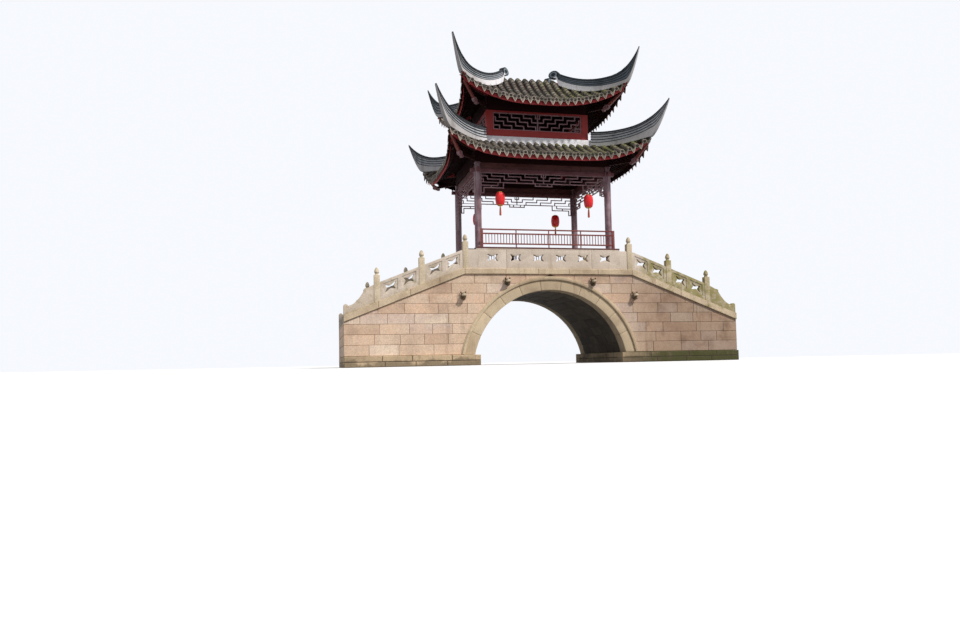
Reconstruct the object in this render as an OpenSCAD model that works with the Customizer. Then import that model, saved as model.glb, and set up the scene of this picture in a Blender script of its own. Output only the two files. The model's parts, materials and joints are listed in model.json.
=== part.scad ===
/* [Bridge body] */
// Width of the bridge between its two side faces
bridge_w = 4030; // [3900:10:4300]
// Half of the level stretch of the deck
level_half = 2640; // [2560:10:2760]
// Fall of the ramps, height over length
ramp_fall = 0.395; // [0.36:0.005:0.41]
// Length of one parapet bay on a ramp, post to post
bay_l = 1318; // [1250:2:1400]
// Length of the end stretch beyond the last post
end_l = 967; // [900:1:1050]
// Height of the footing course above the waterline
foot_h = 320; // [250:5:380]
// Reach of the footing beyond the faces
foot_out = 90; // [50:5:150]
// Reach of the footing into the waterway
foot_in = 158; // [80:2:240]

/* [Arch] */
// Radius of the arch's underside
arch_r = 2445; // [2380:5:2500]
// Depth of the arch's centre below the waterline
arch_drop = 206; // [150:2:260]
// Thickness of the arch stones
ring_t = 306; // [260:2:350]
// Length of the face stones into the bridge
ring_deep = 420; // [300:10:600]
// Stand-out of the face stones
ring_out = 15; // [5:1:30]
// Number of face stones in a ring
ring_stones = 11; // [9:2:15]
// Width of the open joint between face stones
joint_w = 6; // [3:1:10]
// Height of the hood moulding
hood_h = 112; // [80:2:140]
// Stand-out of the hood moulding
hood_out = 60; // [40:2:80]
// Masonry left between the hood moulding and the kerb
crown_cover = 58; // [30:2:120]

/* [Kerb and parapets] */
// Thickness of the kerb stones on the level stretch
kerb_t = 165; // [140:5:190]
// Upright thickness of the kerb stones on the ramps
kerb_ramp_t = 205; // [200:5:240]
// Stand-out of the kerb beyond the bridge face
kerb_out = 50; // [30:2:80]
// Bearing of the kerb on the wall
kerb_in = 176; // [170:2:220]
// Height of the level parapet above the kerb
wall_h = 577; // [520:1:620]
// Height of the ramp parapets above the kerb
ramp_wall_h = 548; // [500:2:570]
// Thickness of the parapet slabs
wall_t = 140; // [100:5:160]
// Number of pierced openings in the level parapet
holes = 6; // [4:2:8]
// Width of a pierced opening
hole_w = 330; // [260:5:360]
// Height of a pierced opening
hole_h = 215; // [160:5:240]
// Distance of the slab joints from the middle
slab_joint = 1360; // [1340:5:1380]
// Width of a newel post
post_w = 167; // [150:1:170]
// Height of the square shaft above the parapet
post_up = 235; // [180:5:280]
// Height of the bud on a newel post
bud_h = 225; // [180:5:260]
// Depth of the sunk fields in the ramp parapets
field_deep = 14; // [6:1:25]
// Reach of a spout head from the wall
spout_out = 215; // [150:5:260]
// Width of a spout head
spout_w = 130; // [100:5:160]
// Distance of the outer spouts inside the hood moulding's outer edge
spout_in = 140; // [100:5:180]
// Depth of the inner spouts below the deck
spout_high = 250; // [220:5:280]
// Depth of the outer spouts below the deck
spout_low = 640; // [600:5:680]

/* [Pavilion floor and seats] */
// Distance of the columns from the middle, along the bridge
col_x = 2119; // [2050:1:2200]
// Distance of the columns' centres inside the edges of the walkway
col_in = 270; // [250:5:320]
// Height of the pavilion floor above the masonry
floor_up = 380; // [360:5:390]
// Floor left outside the columns at the two ends
floor_edge = 281; // [240:1:340]
// Height of the rise of one step
step_rise = 127; // [115:1:150]
// Thickness of the coping between the parapet and the seat
sill_cap = 34; // [25:1:45]
// Width of the seat board
seat_w = 505; // [460:5:560]
// Thickness of the seat board
seat_t = 50; // [35:1:60]
// Reach of the seat board past the columns' centres
seat_end = 170; // [140:5:220]
// Height of the railing above the seat
rail_h = 560; // [480:5:620]
// Width of a railing post
rail_w = 70; // [55:1:80]
// Distance between the balusters
baluster_pitch = 92; // [70:1:130]

/* [Columns and beams] */
// Diameter of a column
col_d = 215; // [190:1:230]
// Height of a column's stone base
base_h = 110; // [80:5:150]
// Diameter of a column's stone base
base_d = 320; // [290:5:340]
// Headroom from the floor to the lintels
headroom = 2825; // [2700:5:2900]
// Height of a lintel
lintel_h = 110; // [90:2:150]
// Width of a lintel
lintel_w = 110; // [90:2:130]
// Length of the lintel ends that stand out past the columns
lintel_out = 110; // [80:5:140]
// Height of a column-head block
head_h = 190; // [150:5:230]
// Width of a column-head block
head_w = 230; // [220:2:260]
// Width of the eaves beams
plate_w = 130; // [100:5:160]
// Depth of the hanging lattice valance
valance_h = 320; // [290:5:340]
// Depth of the valance's drop at its middle
valance_mid = 400; // [370:5:450]
// Depth of the valance's drops towards the columns
valance_side = 490; // [460:5:530]
// Depth of the valance beside the columns
valance_end = 657; // [560:1:700]
// Thickness of the lattice bars
bar = 26; // [18:1:32]
// Width of one column of the lattice's stepped bars
fret_pitch = 130; // [120:2:150]
// Depth of the lattice frames
lattice_t = 40; // [30:1:50]

/* [Upper storey] */
// Distance of the upper storey's faces inside the lines of the columns
up_in = 429; // [390:1:460]
// Width of an upper corner post
up_post = 220; // [180:5:240]
// Height of the plaster band round the upper storey
band_h = 145; // [120:5:200]
// Stand-out of the plaster band
band_out = 80; // [60:5:110]
// Height of the upper lattice frame
frame_h = 855; // [800:5:900]
// Height of the frame's bottom rail
frame_rail = 240; // [210:5:260]

/* [Roofs] */
// Reach of the lower eaves past the columns at mid-side
low_reach = 900; // [860:5:960]
// Further reach of the lower eaves at the corners
low_flare = 171; // [140:1:200]
// Height of the lower eaves above the column heads, tile face
low_eave = 150; // [120:2:180]
// Rise of the lower roof from the eaves to the band
low_rise = 670; // [640:5:740]
// Lift of the lower eaves at the corners
low_lift = 640; // [580:5:680]
// Reach of the upper eaves past the upper storey at mid-side
top_reach = 813; // [760:5:860]
// Further reach of the upper eaves at the corners
top_flare = 163; // [140:1:190]
// Height of the upper eaves above the lattice frame, tile face
top_eave = 180; // [150:2:200]
// Rise of the upper roof from the eaves to the gable foot
top_rise = 1060; // [1020:5:1120]
// Lift of the upper eaves at the corners
top_lift = 640; // [560:5:680]
// Distance of the gables from the middle
gable_x = 1000; // [960:5:1040]
// Thickness of the roof, tiles and boards together
roof_t = 120; // [90:5:140]
// Height of the eaves board
fascia_h = 115; // [90:5:140]
// Width of the hip ridges
ridge_w = 150; // [120:5:180]
// Height of the lower hip ridges
low_ridge_h = 430; // [380:5:460]
// Height of the upper hip ridges
top_ridge_h = 360; // [330:5:420]
// Reach of the lower horns past the eaves corners
low_tip = 420; // [380:2:460]
// Reach of the upper horns past the eaves corners
top_tip = 310; // [280:2:360]
// Height of the lower horns above the sag of their ridge
low_horn = 680; // [600:1:720]
// Height of the upper horns above the sag of their ridge
top_horn = 740; // [660:1:760]
// Rise of the lower hip ridges from their sag to the band
low_heel = 105; // [60:5:140]
// Rise of the upper hip ridges from their sag to the gables
top_heel = 490; // [440:5:520]
// Reach of the upper ridges' heads past the gables
head_reach = 130; // [100:5:160]

/* [Lanterns] */
// Distance of the lanterns from the middle, along the bridge
lantern_x = 1436; // [1380:2:1480]
// Diameter of a lantern
lantern_d = 295; // [260:5:320]
// Height of a lantern's body
lantern_h = 380; // [340:5:420]
// Drop of the lantern's body below its hook
lantern_drop = 700; // [640:5:740]
// Length of a lantern's tassel
tassel_l = 330; // [280:5:380]

/* [Hidden] */
$fn = 48;

// Levels and faces that follow from the sizes above
face_y = bridge_w / 2;
walk_y = face_y - kerb_in;
wall_y = face_y - kerb_in / 2;
col_y = walk_y - col_in;
up_x = col_x - up_in;
up_y = col_y - up_in;
deck_z = arch_r - arch_drop + ring_t + hood_h + crown_cover;
post_inset = 23;
post_xs = [for (i = [0:2]) level_half - post_inset + i * bay_l];
half_len = post_xs[2] + end_l;
knee_x = level_half + (kerb_ramp_t - kerb_t) / ramp_fall;
wall_top = deck_z + kerb_t + wall_h;
floor_z = deck_z + floor_up;
floor_x = col_x + floor_edge;
seat_z = wall_top + sill_cap + seat_t;
lintel_z = floor_z + headroom;
head_z = lintel_z + lintel_h;
plate_z = head_z + head_h;
wire_d = 4;
slack = 0.3;
frame_t = 80;
frame_head = 60;
beam_in = 30;

function under_z(x) = deck_z - ramp_fall * max(0, abs(x) - level_half);
function kerb_z(x) = min(deck_z + kerb_t, under_z(x) + kerb_ramp_t);
function bed_z(x) = kerb_z(x) + slack;
function mix(a, b, t) = a + (b - a) * t;
function arc(cx, cy, r, a0, a1, n) =
    [for (i = [0:n]) let (a = mix(a0, a1, i / n)) [cx + r * cos(a), cy + r * sin(a)]];
function shear(points, fall) = [for (p = points) [p[0], p[1] - fall * p[0]]];

// Stands a flat outline, drawn along and up, upright between two depths
module upright(y0, y1) {
    translate([0, y1, 0]) rotate([90, 0, 0]) linear_extrude(y1 - y0) children();
}

module both_ends() { children(); mirror([1, 0, 0]) children(); }
module to_back() { mirror([0, 1, 0]) children(); }
module both_faces() { children(); to_back() children(); }
module four_corners() { both_ends() both_faces() children(); }

function total(v, i = 0) = i == len(v) ? 0 : v[i] + total(v, i + 1);
function middle(points) = [for (k = [0:2]) total([for (p = points) p[k]]) / len(points)];

// Closes a row of rings of points into one solid: "joined" end to end, "capped" with
// flat faces, or "fanned" with faces round a middle point. Each four-cornered patch is
// split along its shorter diagonal, so that two skins over the same points lie alike.
module loft(rings, ends) {
    n = len(rings[0]);
    m = len(rings);
    last = ends == "joined" ? m - 1 : m - 2;
    all = [for (r = rings) each r];
    skin = [for (k = [0:last], i = [0:n - 1])
        let (a = k * n + i, b = k * n + (i + 1) % n,
             c = ((k + 1) % m) * n + (i + 1) % n, d = ((k + 1) % m) * n + i)
        each norm(all[a] - all[c]) < norm(all[b] - all[d])
            ? [[a, c, b], [a, d, c]] : [[a, d, b], [b, d, c]]];
    caps = ends == "capped"
        ? [[for (i = [0:n - 1]) i], [for (i = [n - 1:-1:0]) (m - 1) * n + i]]
        : ends == "fanned"
        ? [for (i = [0:n - 1]) each [[m * n, i, (i + 1) % n],
                                     [m * n + 1, (m - 1) * n + (i + 1) % n, (m - 1) * n + i]]]
        : [];
    hubs = ends == "fanned" ? [middle(rings[0]), middle(rings[m - 1])] : [];
    polyhedron(concat(all, hubs), concat(skin, caps), convexity = 8);
}

// Masonry

module deck_line(lift_z) {
    polygon([[-half_len - 1, lift_z], [-half_len - 1, under_z(half_len + 1)], [-level_half, deck_z],
             [level_half, deck_z], [half_len + 1, under_z(half_len + 1)], [half_len + 1, lift_z]]);
}

module abutment() {
    color([0.72, 0.58, 0.49]) upright(-face_y, face_y) difference() {
        intersection() {
            deck_line(foot_h);
            translate([0, foot_h]) square([half_len, deck_z]);
        }
        translate([0, -arch_drop]) circle(arch_r + ring_t, $fn = 180);
    }
}

module abutment_right() { abutment(); }
module abutment_left() { mirror([1, 0, 0]) abutment(); }

module arch_band() {
    difference() {
        translate([0, -arch_drop]) circle(arch_r + ring_t, $fn = 180);
        translate([0, -arch_drop]) circle(arch_r, $fn = 180);
        translate([-2 * arch_r, foot_h - 2 * arch_r]) square([4 * arch_r, 2 * arch_r]);
    }
}

module arch_barrel() {
    color([0.42, 0.37, 0.33]) upright(ring_deep - face_y, face_y - ring_deep) arch_band();
}

// The face stones of one ring, parted by open radial joints
module arch_ring_front() {
    spring = asin((foot_h + arch_drop) / (arch_r + ring_t / 2));
    pitch = (180 - 2 * spring) / ring_stones;
    color([0.83, 0.74, 0.66]) upright(-face_y - ring_out, ring_deep - face_y) difference() {
        arch_band();
        translate([0, -arch_drop]) for (i = [1:ring_stones - 1]) rotate(spring + i * pitch)
            translate([arch_r / 2, -joint_w / 2]) square([arch_r, joint_w]);
    }
}
module arch_ring_back() { to_back() arch_ring_front(); }

module hood_moulds() {
    r0 = arch_r + ring_t;
    ease = hood_h / 5;
    color([0.78, 0.68, 0.58]) both_faces() intersection() {
        translate([0, -face_y, -arch_drop]) rotate([90, 0, 0]) rotate_extrude($fn = 180)
            polygon([[r0, 0], [r0, hood_out - ease], [r0 + ease, hood_out],
                     [r0 + hood_h - 2 * ease, hood_out], [r0 + hood_h - ease, hood_out - ease],
                     [r0 + hood_h, hood_out / 3], [r0 + hood_h, 0]]);
        translate([-2 * arch_r, -face_y - hood_out - 1, foot_h])
            cube([4 * arch_r, hood_out + 2, 2 * arch_r]);
    }
}

module footings() {
    spring_x = sqrt(pow(arch_r, 2) - pow(foot_h + arch_drop, 2));
    color([0.52, 0.47, 0.38]) both_ends() translate([spring_x - foot_in, -face_y - foot_out, 0])
        cube([half_len - spring_x + foot_in, bridge_w + 2 * foot_out, foot_h]);
}

module kerbs() {
    color([0.86, 0.79, 0.69]) both_faces() upright(-face_y - kerb_out, -walk_y)
        polygon([[-half_len, under_z(half_len)], [-level_half, deck_z], [level_half, deck_z],
                 [half_len, under_z(half_len)], [half_len, kerb_z(half_len)],
                 [knee_x, deck_z + kerb_t], [-knee_x, deck_z + kerb_t],
                 [-half_len, kerb_z(half_len)]]);
}

// One flight, from the pavilion floor down to the end of the bridge
module steps() {
    drop = floor_z - kerb_z(half_len);
    count = round(drop / step_rise);
    tread = (half_len - floor_x) / count;
    color([0.66, 0.61, 0.54]) upright(-walk_y, walk_y) difference() {
        polygon(concat([[floor_x, foot_h]],
            [for (i = [1:count], s = [0, 1])
                [floor_x + (i - 1 + s) * tread, floor_z - i * drop / count]],
            [[half_len, foot_h]]));
        deck_line(foot_h - 1);
    }
}
module steps_right() { steps(); }
module steps_left() { mirror([1, 0, 0]) steps(); }

// Parapets

// Outline of a pierced opening: pointed corners and sides that bow inwards
function butterfly(w, h) = let (bx = w * 0.16, by = h * 0.27, n = 8) concat(
    [for (i = [0:n - 1]) let (t = i / n) [mix(-w, w, t) / 2, -h / 2 + by * pow(sin(180 * t), 2)]],
    [for (i = [0:n - 1]) let (t = i / n) [w / 2 - bx * pow(sin(180 * t), 2), mix(-h, h, t) / 2]],
    [for (i = [0:n - 1]) let (t = i / n) [mix(w, -w, t) / 2, h / 2 - by * pow(sin(180 * t), 2)]],
    [for (i = [0:n - 1]) let (t = i / n) [-w / 2 + bx * pow(sin(180 * t), 2), mix(h, -h, t) / 2]]);

module parapet_front_centre() {
    reach = post_xs[0] - post_w / 2;
    pitch = 2 * reach / (holes + 1.06);
    color([0.90, 0.85, 0.77]) upright(-wall_y - wall_t / 2, -wall_y + wall_t / 2) difference() {
        translate([-reach, deck_z + kerb_t]) square([2 * reach, wall_h]);
        for (i = [0:holes - 1])
            translate([(i - (holes - 1) / 2) * pitch, deck_z + kerb_t + wall_h * 0.587])
                polygon(butterfly(hole_w, hole_h));
        for (s = [-1, 1])
            translate([s * slab_joint - joint_w / 2, deck_z]) square([joint_w, 2 * wall_h]);
    }
}
module parapet_back_centre() { to_back() parapet_front_centre(); }

// One raking slab with two sunk fields, each pierced, between two posts
module ramp_panel(x0) {
    clear_l = bay_l - post_w;
    field_l = clear_l * 0.37;
    field_h = ramp_wall_h * 0.62;
    field_up = ramp_wall_h * 0.53;
    start = x0 + post_w / 2;
    end = start + clear_l;
    turn = max(start, min(knee_x, end));
    color([0.85, 0.80, 0.68]) difference() {
        upright(-wall_y - wall_t / 2, -wall_y + wall_t / 2)
            polygon([[start, bed_z(start)], [turn, bed_z(turn)], [end, bed_z(end)],
                     [end, kerb_z(end) + ramp_wall_h], [turn, kerb_z(turn) + ramp_wall_h],
                     [start, kerb_z(start) + ramp_wall_h]]);
        for (f = [0.265, 0.735]) let (cx = start + f * clear_l) translate([cx, 0, kerb_z(cx) + field_up]) {
            upright(-face_y, face_y) polygon(shear(butterfly(hole_w * 0.92, hole_h), ramp_fall));
            upright(-face_y, -wall_y - wall_t / 2 + field_deep)
                polygon(shear([[-field_l / 2, -field_h / 2], [field_l / 2, -field_h / 2],
                               [field_l / 2, field_h / 2], [-field_l / 2, field_h / 2]], ramp_fall));
        }
    }
}
module parapet_front_right() { for (i = [0, 1]) ramp_panel(post_xs[i]); }
module parapet_front_left() { mirror([1, 0, 0]) parapet_front_right(); }
module parapet_back_right() { to_back() parapet_front_right(); }
module parapet_back_left() { to_back() parapet_front_left(); }

// A square shaft cut to the kerb, with a neck and a lotus bud
module newel_post(i) {
    x = post_xs[i];
    top = kerb_z(x) + (i == 0 ? wall_h : ramp_wall_h) + post_up;
    color([0.87, 0.82, 0.72]) translate([0, -wall_y, 0]) {
        upright(-post_w / 2, post_w / 2)
            polygon([[x - post_w / 2, bed_z(x - post_w / 2)], [x + post_w / 2, bed_z(x + post_w / 2)],
                     [x + post_w / 2, top], [x - post_w / 2, top]]);
        translate([x, 0, top]) rotate_extrude()
            polygon(concat([[0, 0], [post_w * 0.40, 0], [post_w * 0.27, bud_h * 0.16],
                            [post_w * 0.36, bud_h * 0.26]],
                [for (a = [10:16:90]) [post_w * 0.45 * cos(a), bud_h * (0.30 + 0.70 * pow(sin(a), 1.2))]],
                [[0, bud_h]]));
    }
}
module newel_posts() { four_corners() for (i = [0:2]) newel_post(i); }

// The stone that ends a parapet: a raking top, a knob, a hollow curve and a curl
module scroll_stones() {
    start = post_xs[2] + post_w / 2;
    run = half_len - start;
    knob_x = start + run * 0.27;
    knob_z = kerb_z(knob_x) + ramp_wall_h * 0.96;
    curl_r = run * 0.075;
    curl_x = half_len - curl_r;
    curl_z = kerb_z(curl_x) + ramp_wall_h * 0.42;
    hollow_r = (curl_x - knob_x - 2 * curl_r);
    color([0.80, 0.75, 0.60]) four_corners() upright(-wall_y - wall_t / 2, -wall_y + wall_t / 2)
        polygon(concat([[start, bed_z(start)], [start, kerb_z(start) + ramp_wall_h * 0.98]],
            arc(knob_x, knob_z - curl_r, curl_r, 110, -20, 6),
            [for (t = [0.1:0.15:0.95]) [mix(knob_x + curl_r, curl_x - curl_r, t),
                mix(knob_z - 1.4 * curl_r, curl_z + curl_r * 0.3, 1 - pow(1 - t, 1.9))]],
            arc(curl_x, curl_z, curl_r, 170, 0, 6),
            [[half_len, bed_z(half_len)]]));
}

// A beast's head that juts from the wall: brow, upturned nose, open mouth, beard
module spout_head() {
    w = spout_out;
    color([0.60, 0.54, 0.46]) translate([-spout_w / 2, -face_y, 0]) rotate([90, 0, 90])
        linear_extrude(spout_w) polygon([
            [0, -0.50 * w], [-0.35 * w, -0.46 * w], [-0.62 * w, -0.34 * w], [-0.80 * w, -0.30 * w],
            [-0.86 * w, -0.18 * w], [-0.60 * w, -0.14 * w], [-0.52 * w, -0.04 * w],
            [-0.66 * w, 0.02 * w], [-0.96 * w, 0.02 * w], [-w, 0.14 * w], [-0.90 * w, 0.26 * w],
            [-0.72 * w, 0.22 * w], [-0.60 * w, 0.38 * w], [-0.38 * w, 0.42 * w], [-0.28 * w, 0.54 * w],
            [-0.14 * w, 0.46 * w], [0, 0.44 * w]]);
}
module spout_heads() {
    outer = arch_r + ring_t + hood_h - spout_in;
    four_corners() {
        translate([outer / 2, 0, deck_z - spout_high]) spout_head();
        translate([outer, 0, under_z(outer) - spout_low]) spout_head();
    }
}

// Pavilion floor, seats and railings

module pavilion_floor() {
    color([0.70, 0.65, 0.58]) upright(-walk_y, walk_y) difference() {
        translate([-floor_x, foot_h]) square([2 * floor_x, floor_z - foot_h]);
        deck_line(foot_h - 1);
    }
}

module at_columns() {
    for (sx = [-1, 1], sy = [-1, 1]) translate([sx * col_x, sy * col_y, 0]) children();
}

module seat_copings() {
    reach = col_x + seat_end;
    color([0.84, 0.78, 0.68]) both_faces() translate([-reach, -wall_y - wall_t / 2, wall_top])
        cube([2 * reach, wall_t, sill_cap]);
}

// A board on the coping, let in round the columns, with legs along its inner edge
module seat_boards() {
    outer = wall_y + wall_t / 2;
    reach = col_x + seat_end;
    leg = 70;
    color([0.30, 0.12, 0.10]) both_faces() {
        difference() {
            translate([-reach, -outer, seat_z - seat_t]) cube([2 * reach, seat_w, seat_t]);
            at_columns() translate([0, 0, seat_z - seat_t - 1]) cylinder(d = col_d + 2, h = seat_t + 2);
        }
        for (f = [-0.5, 0, 0.5])
            translate([f * col_x - leg / 2, seat_w - outer - leg - 20, floor_z])
                cube([leg, leg, seat_z - seat_t - floor_z + 1]);
    }
}

// Two end posts, three rails, and balusters between the lower two
module railing_front() {
    y = wall_y + wall_t / 2 - rail_w / 2 - 10;
    reach = col_x + 20;
    deep = rail_w * 0.6;
    low = seat_z + rail_h * 0.15;
    mid = seat_z + rail_h * 0.70;
    top = seat_z + rail_h * 0.93;
    count = round(2 * (reach - rail_w) / baluster_pitch);
    color([0.36, 0.11, 0.10]) translate([0, -y, 0]) {
        both_ends() translate([reach - rail_w, -rail_w / 2, seat_z])
            cube([rail_w, rail_w, rail_h]);
        for (z = [low, mid, top])
            translate([-reach + rail_w / 2, -deep / 2, z]) cube([2 * reach - rail_w, deep, 38]);
        for (i = [1:count - 1])
            translate([mix(rail_w - reach, reach - rail_w, i / count) - 9, -9, low]) cube([18, 18, mid - low + 5]);
        for (f = [0.25, 0.5, 0.75])
            translate([mix(rail_w - reach, reach - rail_w, f) - 14, -14, seat_z]) cube([28, 28, top - seat_z + 5]);
    }
}
module railing_back() { to_back() railing_front(); }

// Columns and beams

module column_bases() {
    color([0.62, 0.58, 0.52]) at_columns() translate([0, 0, floor_z]) rotate_extrude()
        polygon(concat([[0, 0], [base_d * 0.44, 0]],
            [for (a = [-60:20:60]) [base_d * (0.36 + 0.14 * cos(a)), base_h * (0.5 + 0.5 * a / 60)]],
            [[0, base_h]]));
}

module columns() {
    color([0.36, 0.16, 0.17]) at_columns() translate([0, 0, floor_z + base_h])
        cylinder(d = col_d, h = head_z - floor_z - base_h);
}

module lintels() {
    end_x = col_x + col_d / 2 + lintel_out;
    end_y = col_y + col_d / 2 + lintel_out;
    color([0.36, 0.14, 0.14]) difference() {
        for (s = [-1, 1]) {
            translate([-end_x, s * col_y - lintel_w / 2, lintel_z]) cube([2 * end_x, lintel_w, lintel_h]);
            translate([s * col_x - lintel_w / 2, -end_y, lintel_z]) cube([lintel_w, 2 * end_y, lintel_h]);
        }
        at_columns() translate([0, 0, lintel_z - 1]) cylinder(d = col_d, h = lintel_h + 2);
    }
}

module column_heads() {
    color([0.45, 0.32, 0.28]) at_columns() translate([0, 0, head_z]) {
        translate([-head_w * 0.42, -head_w * 0.42, 0]) cube([head_w * 0.84, head_w * 0.84, head_h]);
        translate([-head_w / 2, -head_w / 2, head_h * 0.45]) cube([head_w, head_w, head_h * 0.55]);
    }
}

// Roof shape: half-lengths of the eaves at mid-side and at the corners, half-lengths of
// the top edge, then eaves level, rise, straightness, corner lift, and the powers by which
// it fades along the eaves and up the slope
LOW = [col_x + low_reach, col_y + low_reach, col_x + low_reach + low_flare,
       col_y + low_reach + low_flare, up_x + band_out, up_y + band_out,
       plate_z + low_eave, low_rise, 0.60, low_lift, 4.3, 1.1];
band_z = plate_z + low_eave + low_rise;
frame_z = band_z + band_h;
gable_y = up_y + top_reach + top_flare - (up_x + top_reach + top_flare - gable_x);
TOP = [up_x + top_reach, up_y + top_reach, up_x + top_reach + top_flare,
       up_y + top_reach + top_flare, gable_x, gable_y,
       frame_z + frame_h + top_eave, top_rise, 0.50, top_lift, 2.8, 1.6];
gable_z = TOP[6] + TOP[7];
roll_rise = TOP[7] * (2 - TOP[8]) / (TOP[1] - gable_y) * gable_y / 2;
around = 12;
low_plate_v = (low_reach - plate_w / 2) / (LOW[1] - LOW[5]);
top_plate_v = (top_reach + beam_in) / (TOP[1] - TOP[5]);
board_v = [0.05, 0.08];

function climb(v, R) = R[6] + R[7] * (R[8] * v + (1 - R[8]) * v * v);
function lift(u, v, R) = R[9] * pow(abs(u), R[10]) * pow(1 - v, R[11]);
function swell(u) = pow(abs(u), 3);

// A ring of points round the roof at one height share v, lowered by dz
function roof_ring(v, dz, R) =
    let (hx = mix(R[2], R[4], v), hy = mix(R[3], R[5], v), mx = mix(R[0], R[4], v),
         my = mix(R[1], R[5], v), us = [for (i = [0:around - 1]) 2 * i / around - 1])
    concat(
        [for (u = us) [u * hx, -mix(my, hy, swell(u)), climb(v, R) + lift(u, v, R) - dz]],
        [for (u = us) [mix(mx, hx, swell(u)), u * hy, climb(v, R) + lift(u, v, R) - dz]],
        [for (u = us) [-u * hx, mix(my, hy, swell(u)), climb(v, R) + lift(u, v, R) - dz]],
        [for (u = us) [-mix(mx, hx, swell(u)), -u * hy, climb(v, R) + lift(u, v, R) - dz]]);

// A level ring with straight sides
function box_ring(x, y, z) =
    let (us = [for (i = [0:around - 1]) 2 * i / around - 1])
    concat([for (u = us) [u * x, -y, z]], [for (u = us) [x, u * y, z]],
           [for (u = us) [-u * x, y, z]], [for (u = us) [-x, -u * y, z]]);

low_vs = [0, board_v[0], board_v[1], 0.25, 0.45, low_plate_v, 0.85, 1];
top_vs = [0, board_v[0], board_v[1], 0.25, top_plate_v, 0.72, 0.88, 1];

module lower_roof() {
    color([0.33, 0.32, 0.28]) loft(concat(
        [for (v = low_vs) roof_ring(v, 0, LOW)],
        [box_ring(up_x, up_y, band_z), box_ring(up_x, up_y, band_z - roof_t)],
        [for (i = [len(low_vs) - 1:-1:0]) roof_ring(low_vs[i], roof_t, LOW)]), "joined");
}

// The ridge of the upper roof is rolled: the slopes meet in a round back between two gables
module upper_roof() {
    ys = [0.75, 0.5, 0.25, 0.04];
    function back(s) = roll_rise * (1 - s * s);
    color([0.33, 0.32, 0.28]) loft(concat(
        [for (i = [len(ys) - 1:-1:0]) box_ring(gable_x - roof_t, gable_y * ys[i],
                                               gable_z + back(ys[i]) - roof_t)],
        [for (i = [len(top_vs) - 1:-1:0]) roof_ring(top_vs[i], roof_t, TOP)],
        [for (v = top_vs) roof_ring(v, 0, TOP)],
        [for (s = ys) box_ring(gable_x, gable_y * s, gable_z + back(s))]), "fanned");
}

module fascia(R) {
    top = roof_t + slack;
    color([0.50, 0.12, 0.10]) loft([
        roof_ring(board_v[0], top, R), roof_ring(board_v[1], top, R),
        roof_ring(board_v[1], top + fascia_h, R), roof_ring(board_v[0], top + fascia_h, R)], "joined");
}
module eaves_boards() { fascia(LOW); fascia(TOP); }

// Section of a hip ridge between two levels: footing, drawn-in body and tile cap
function ridge_section(c, zb, zt, w) =
    let (h = zt - zb, e = w / 2, b = w * 0.36, q = sqrt(0.5),
         pts = [[-e, 0], [e, 0], [e, 0.32 * h], [b, 0.38 * h], [b, 0.78 * h], [e, 0.82 * h],
                [0.75 * e, h], [-0.75 * e, h], [-e, 0.82 * h], [-b, 0.78 * h], [-b, 0.38 * h], [-e, 0.32 * h]])
    [for (p = pts) [c[0] + p[0] * q, c[1] + p[0] * q, zb + p[1]]];

// One hip ridge in the front right corner, with its upturned horn. Its crown is lowest at
// the share sag_v of the slope; a head, if it has one, leans past the gable over the roll
module hip_ridge(R, vs, high, sag_v, heel, tip, horn, head) {
    span = R[2] - R[4];
    sag_z = climb(sag_v, R) + lift(1, sag_v, R) + high;
    function along(d) = [R[2] + d, -R[3] - d];
    function crown(d) = let (s = -sag_v * span) d > s
        ? sag_z + horn * pow((d - s) / (tip - s), 2.7)
        : sag_z + heel * pow((s - d) / (span + s), 2);
    foot_tip = crown(tip) - 50;
    foot0 = climb(0, R) + lift(1, 0, R);
    loft(concat(
        [for (d = head > 0 ? [-span - head, -span - head / 2] : [])
            ridge_section(along(d), gable_z + roll_rise + 20 + 30 * (-span - d) / head, crown(d),
                          ridge_w * (d == -span - head ? 0.7 : 1))],
        [for (i = [len(vs) - 1:-1:0]) let (v = vs[i], d = -v * span)
            ridge_section(along(d), climb(v, R) + lift(1, v, R), crown(d), ridge_w)],
        [for (s = [0.2:0.2:1]) ridge_section(along(s * tip), mix(foot0, foot_tip, pow(s, 1.5)),
                                           crown(s * tip), mix(ridge_w, ridge_w * 0.4, s))]), "capped");
}

module lower_ridges() {
    color([0.55, 0.54, 0.50]) four_corners()
        hip_ridge(LOW, low_vs, low_ridge_h, 0.54, low_heel, low_tip, low_horn, 0);
}
module upper_ridges() {
    color([0.55, 0.54, 0.50]) four_corners()
        hip_ridge(TOP, top_vs, top_ridge_h, 0.30, top_heel, top_tip, top_horn, head_reach);
}

// Four beams on the column heads, their outer edge against the roof's underside
module eaves_beams() {
    top = climb(low_plate_v, LOW) - roof_t - slack;
    color([0.30, 0.10, 0.09]) translate([0, 0, plate_z]) linear_extrude(top - plate_z) difference() {
        square([2 * col_x + plate_w, 2 * col_y + plate_w], center = true);
        square([2 * col_x - plate_w, 2 * col_y - plate_w], center = true);
    }
}

module tie_beams() {
    h = 180;
    w = 150;
    notch = 20;
    color([0.28, 0.10, 0.09]) translate([0, 0, plate_z + notch]) for (s = [-1, 1]) {
        translate([s * (up_x - up_post / 2) - w / 2, -col_y + plate_w / 2, 0])
            cube([w, 2 * col_y - plate_w, h]);
        translate([-up_x, s * (up_y - up_post / 2) - w / 2, 0]) cube([2 * up_x, w, h]);
    }
}

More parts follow.
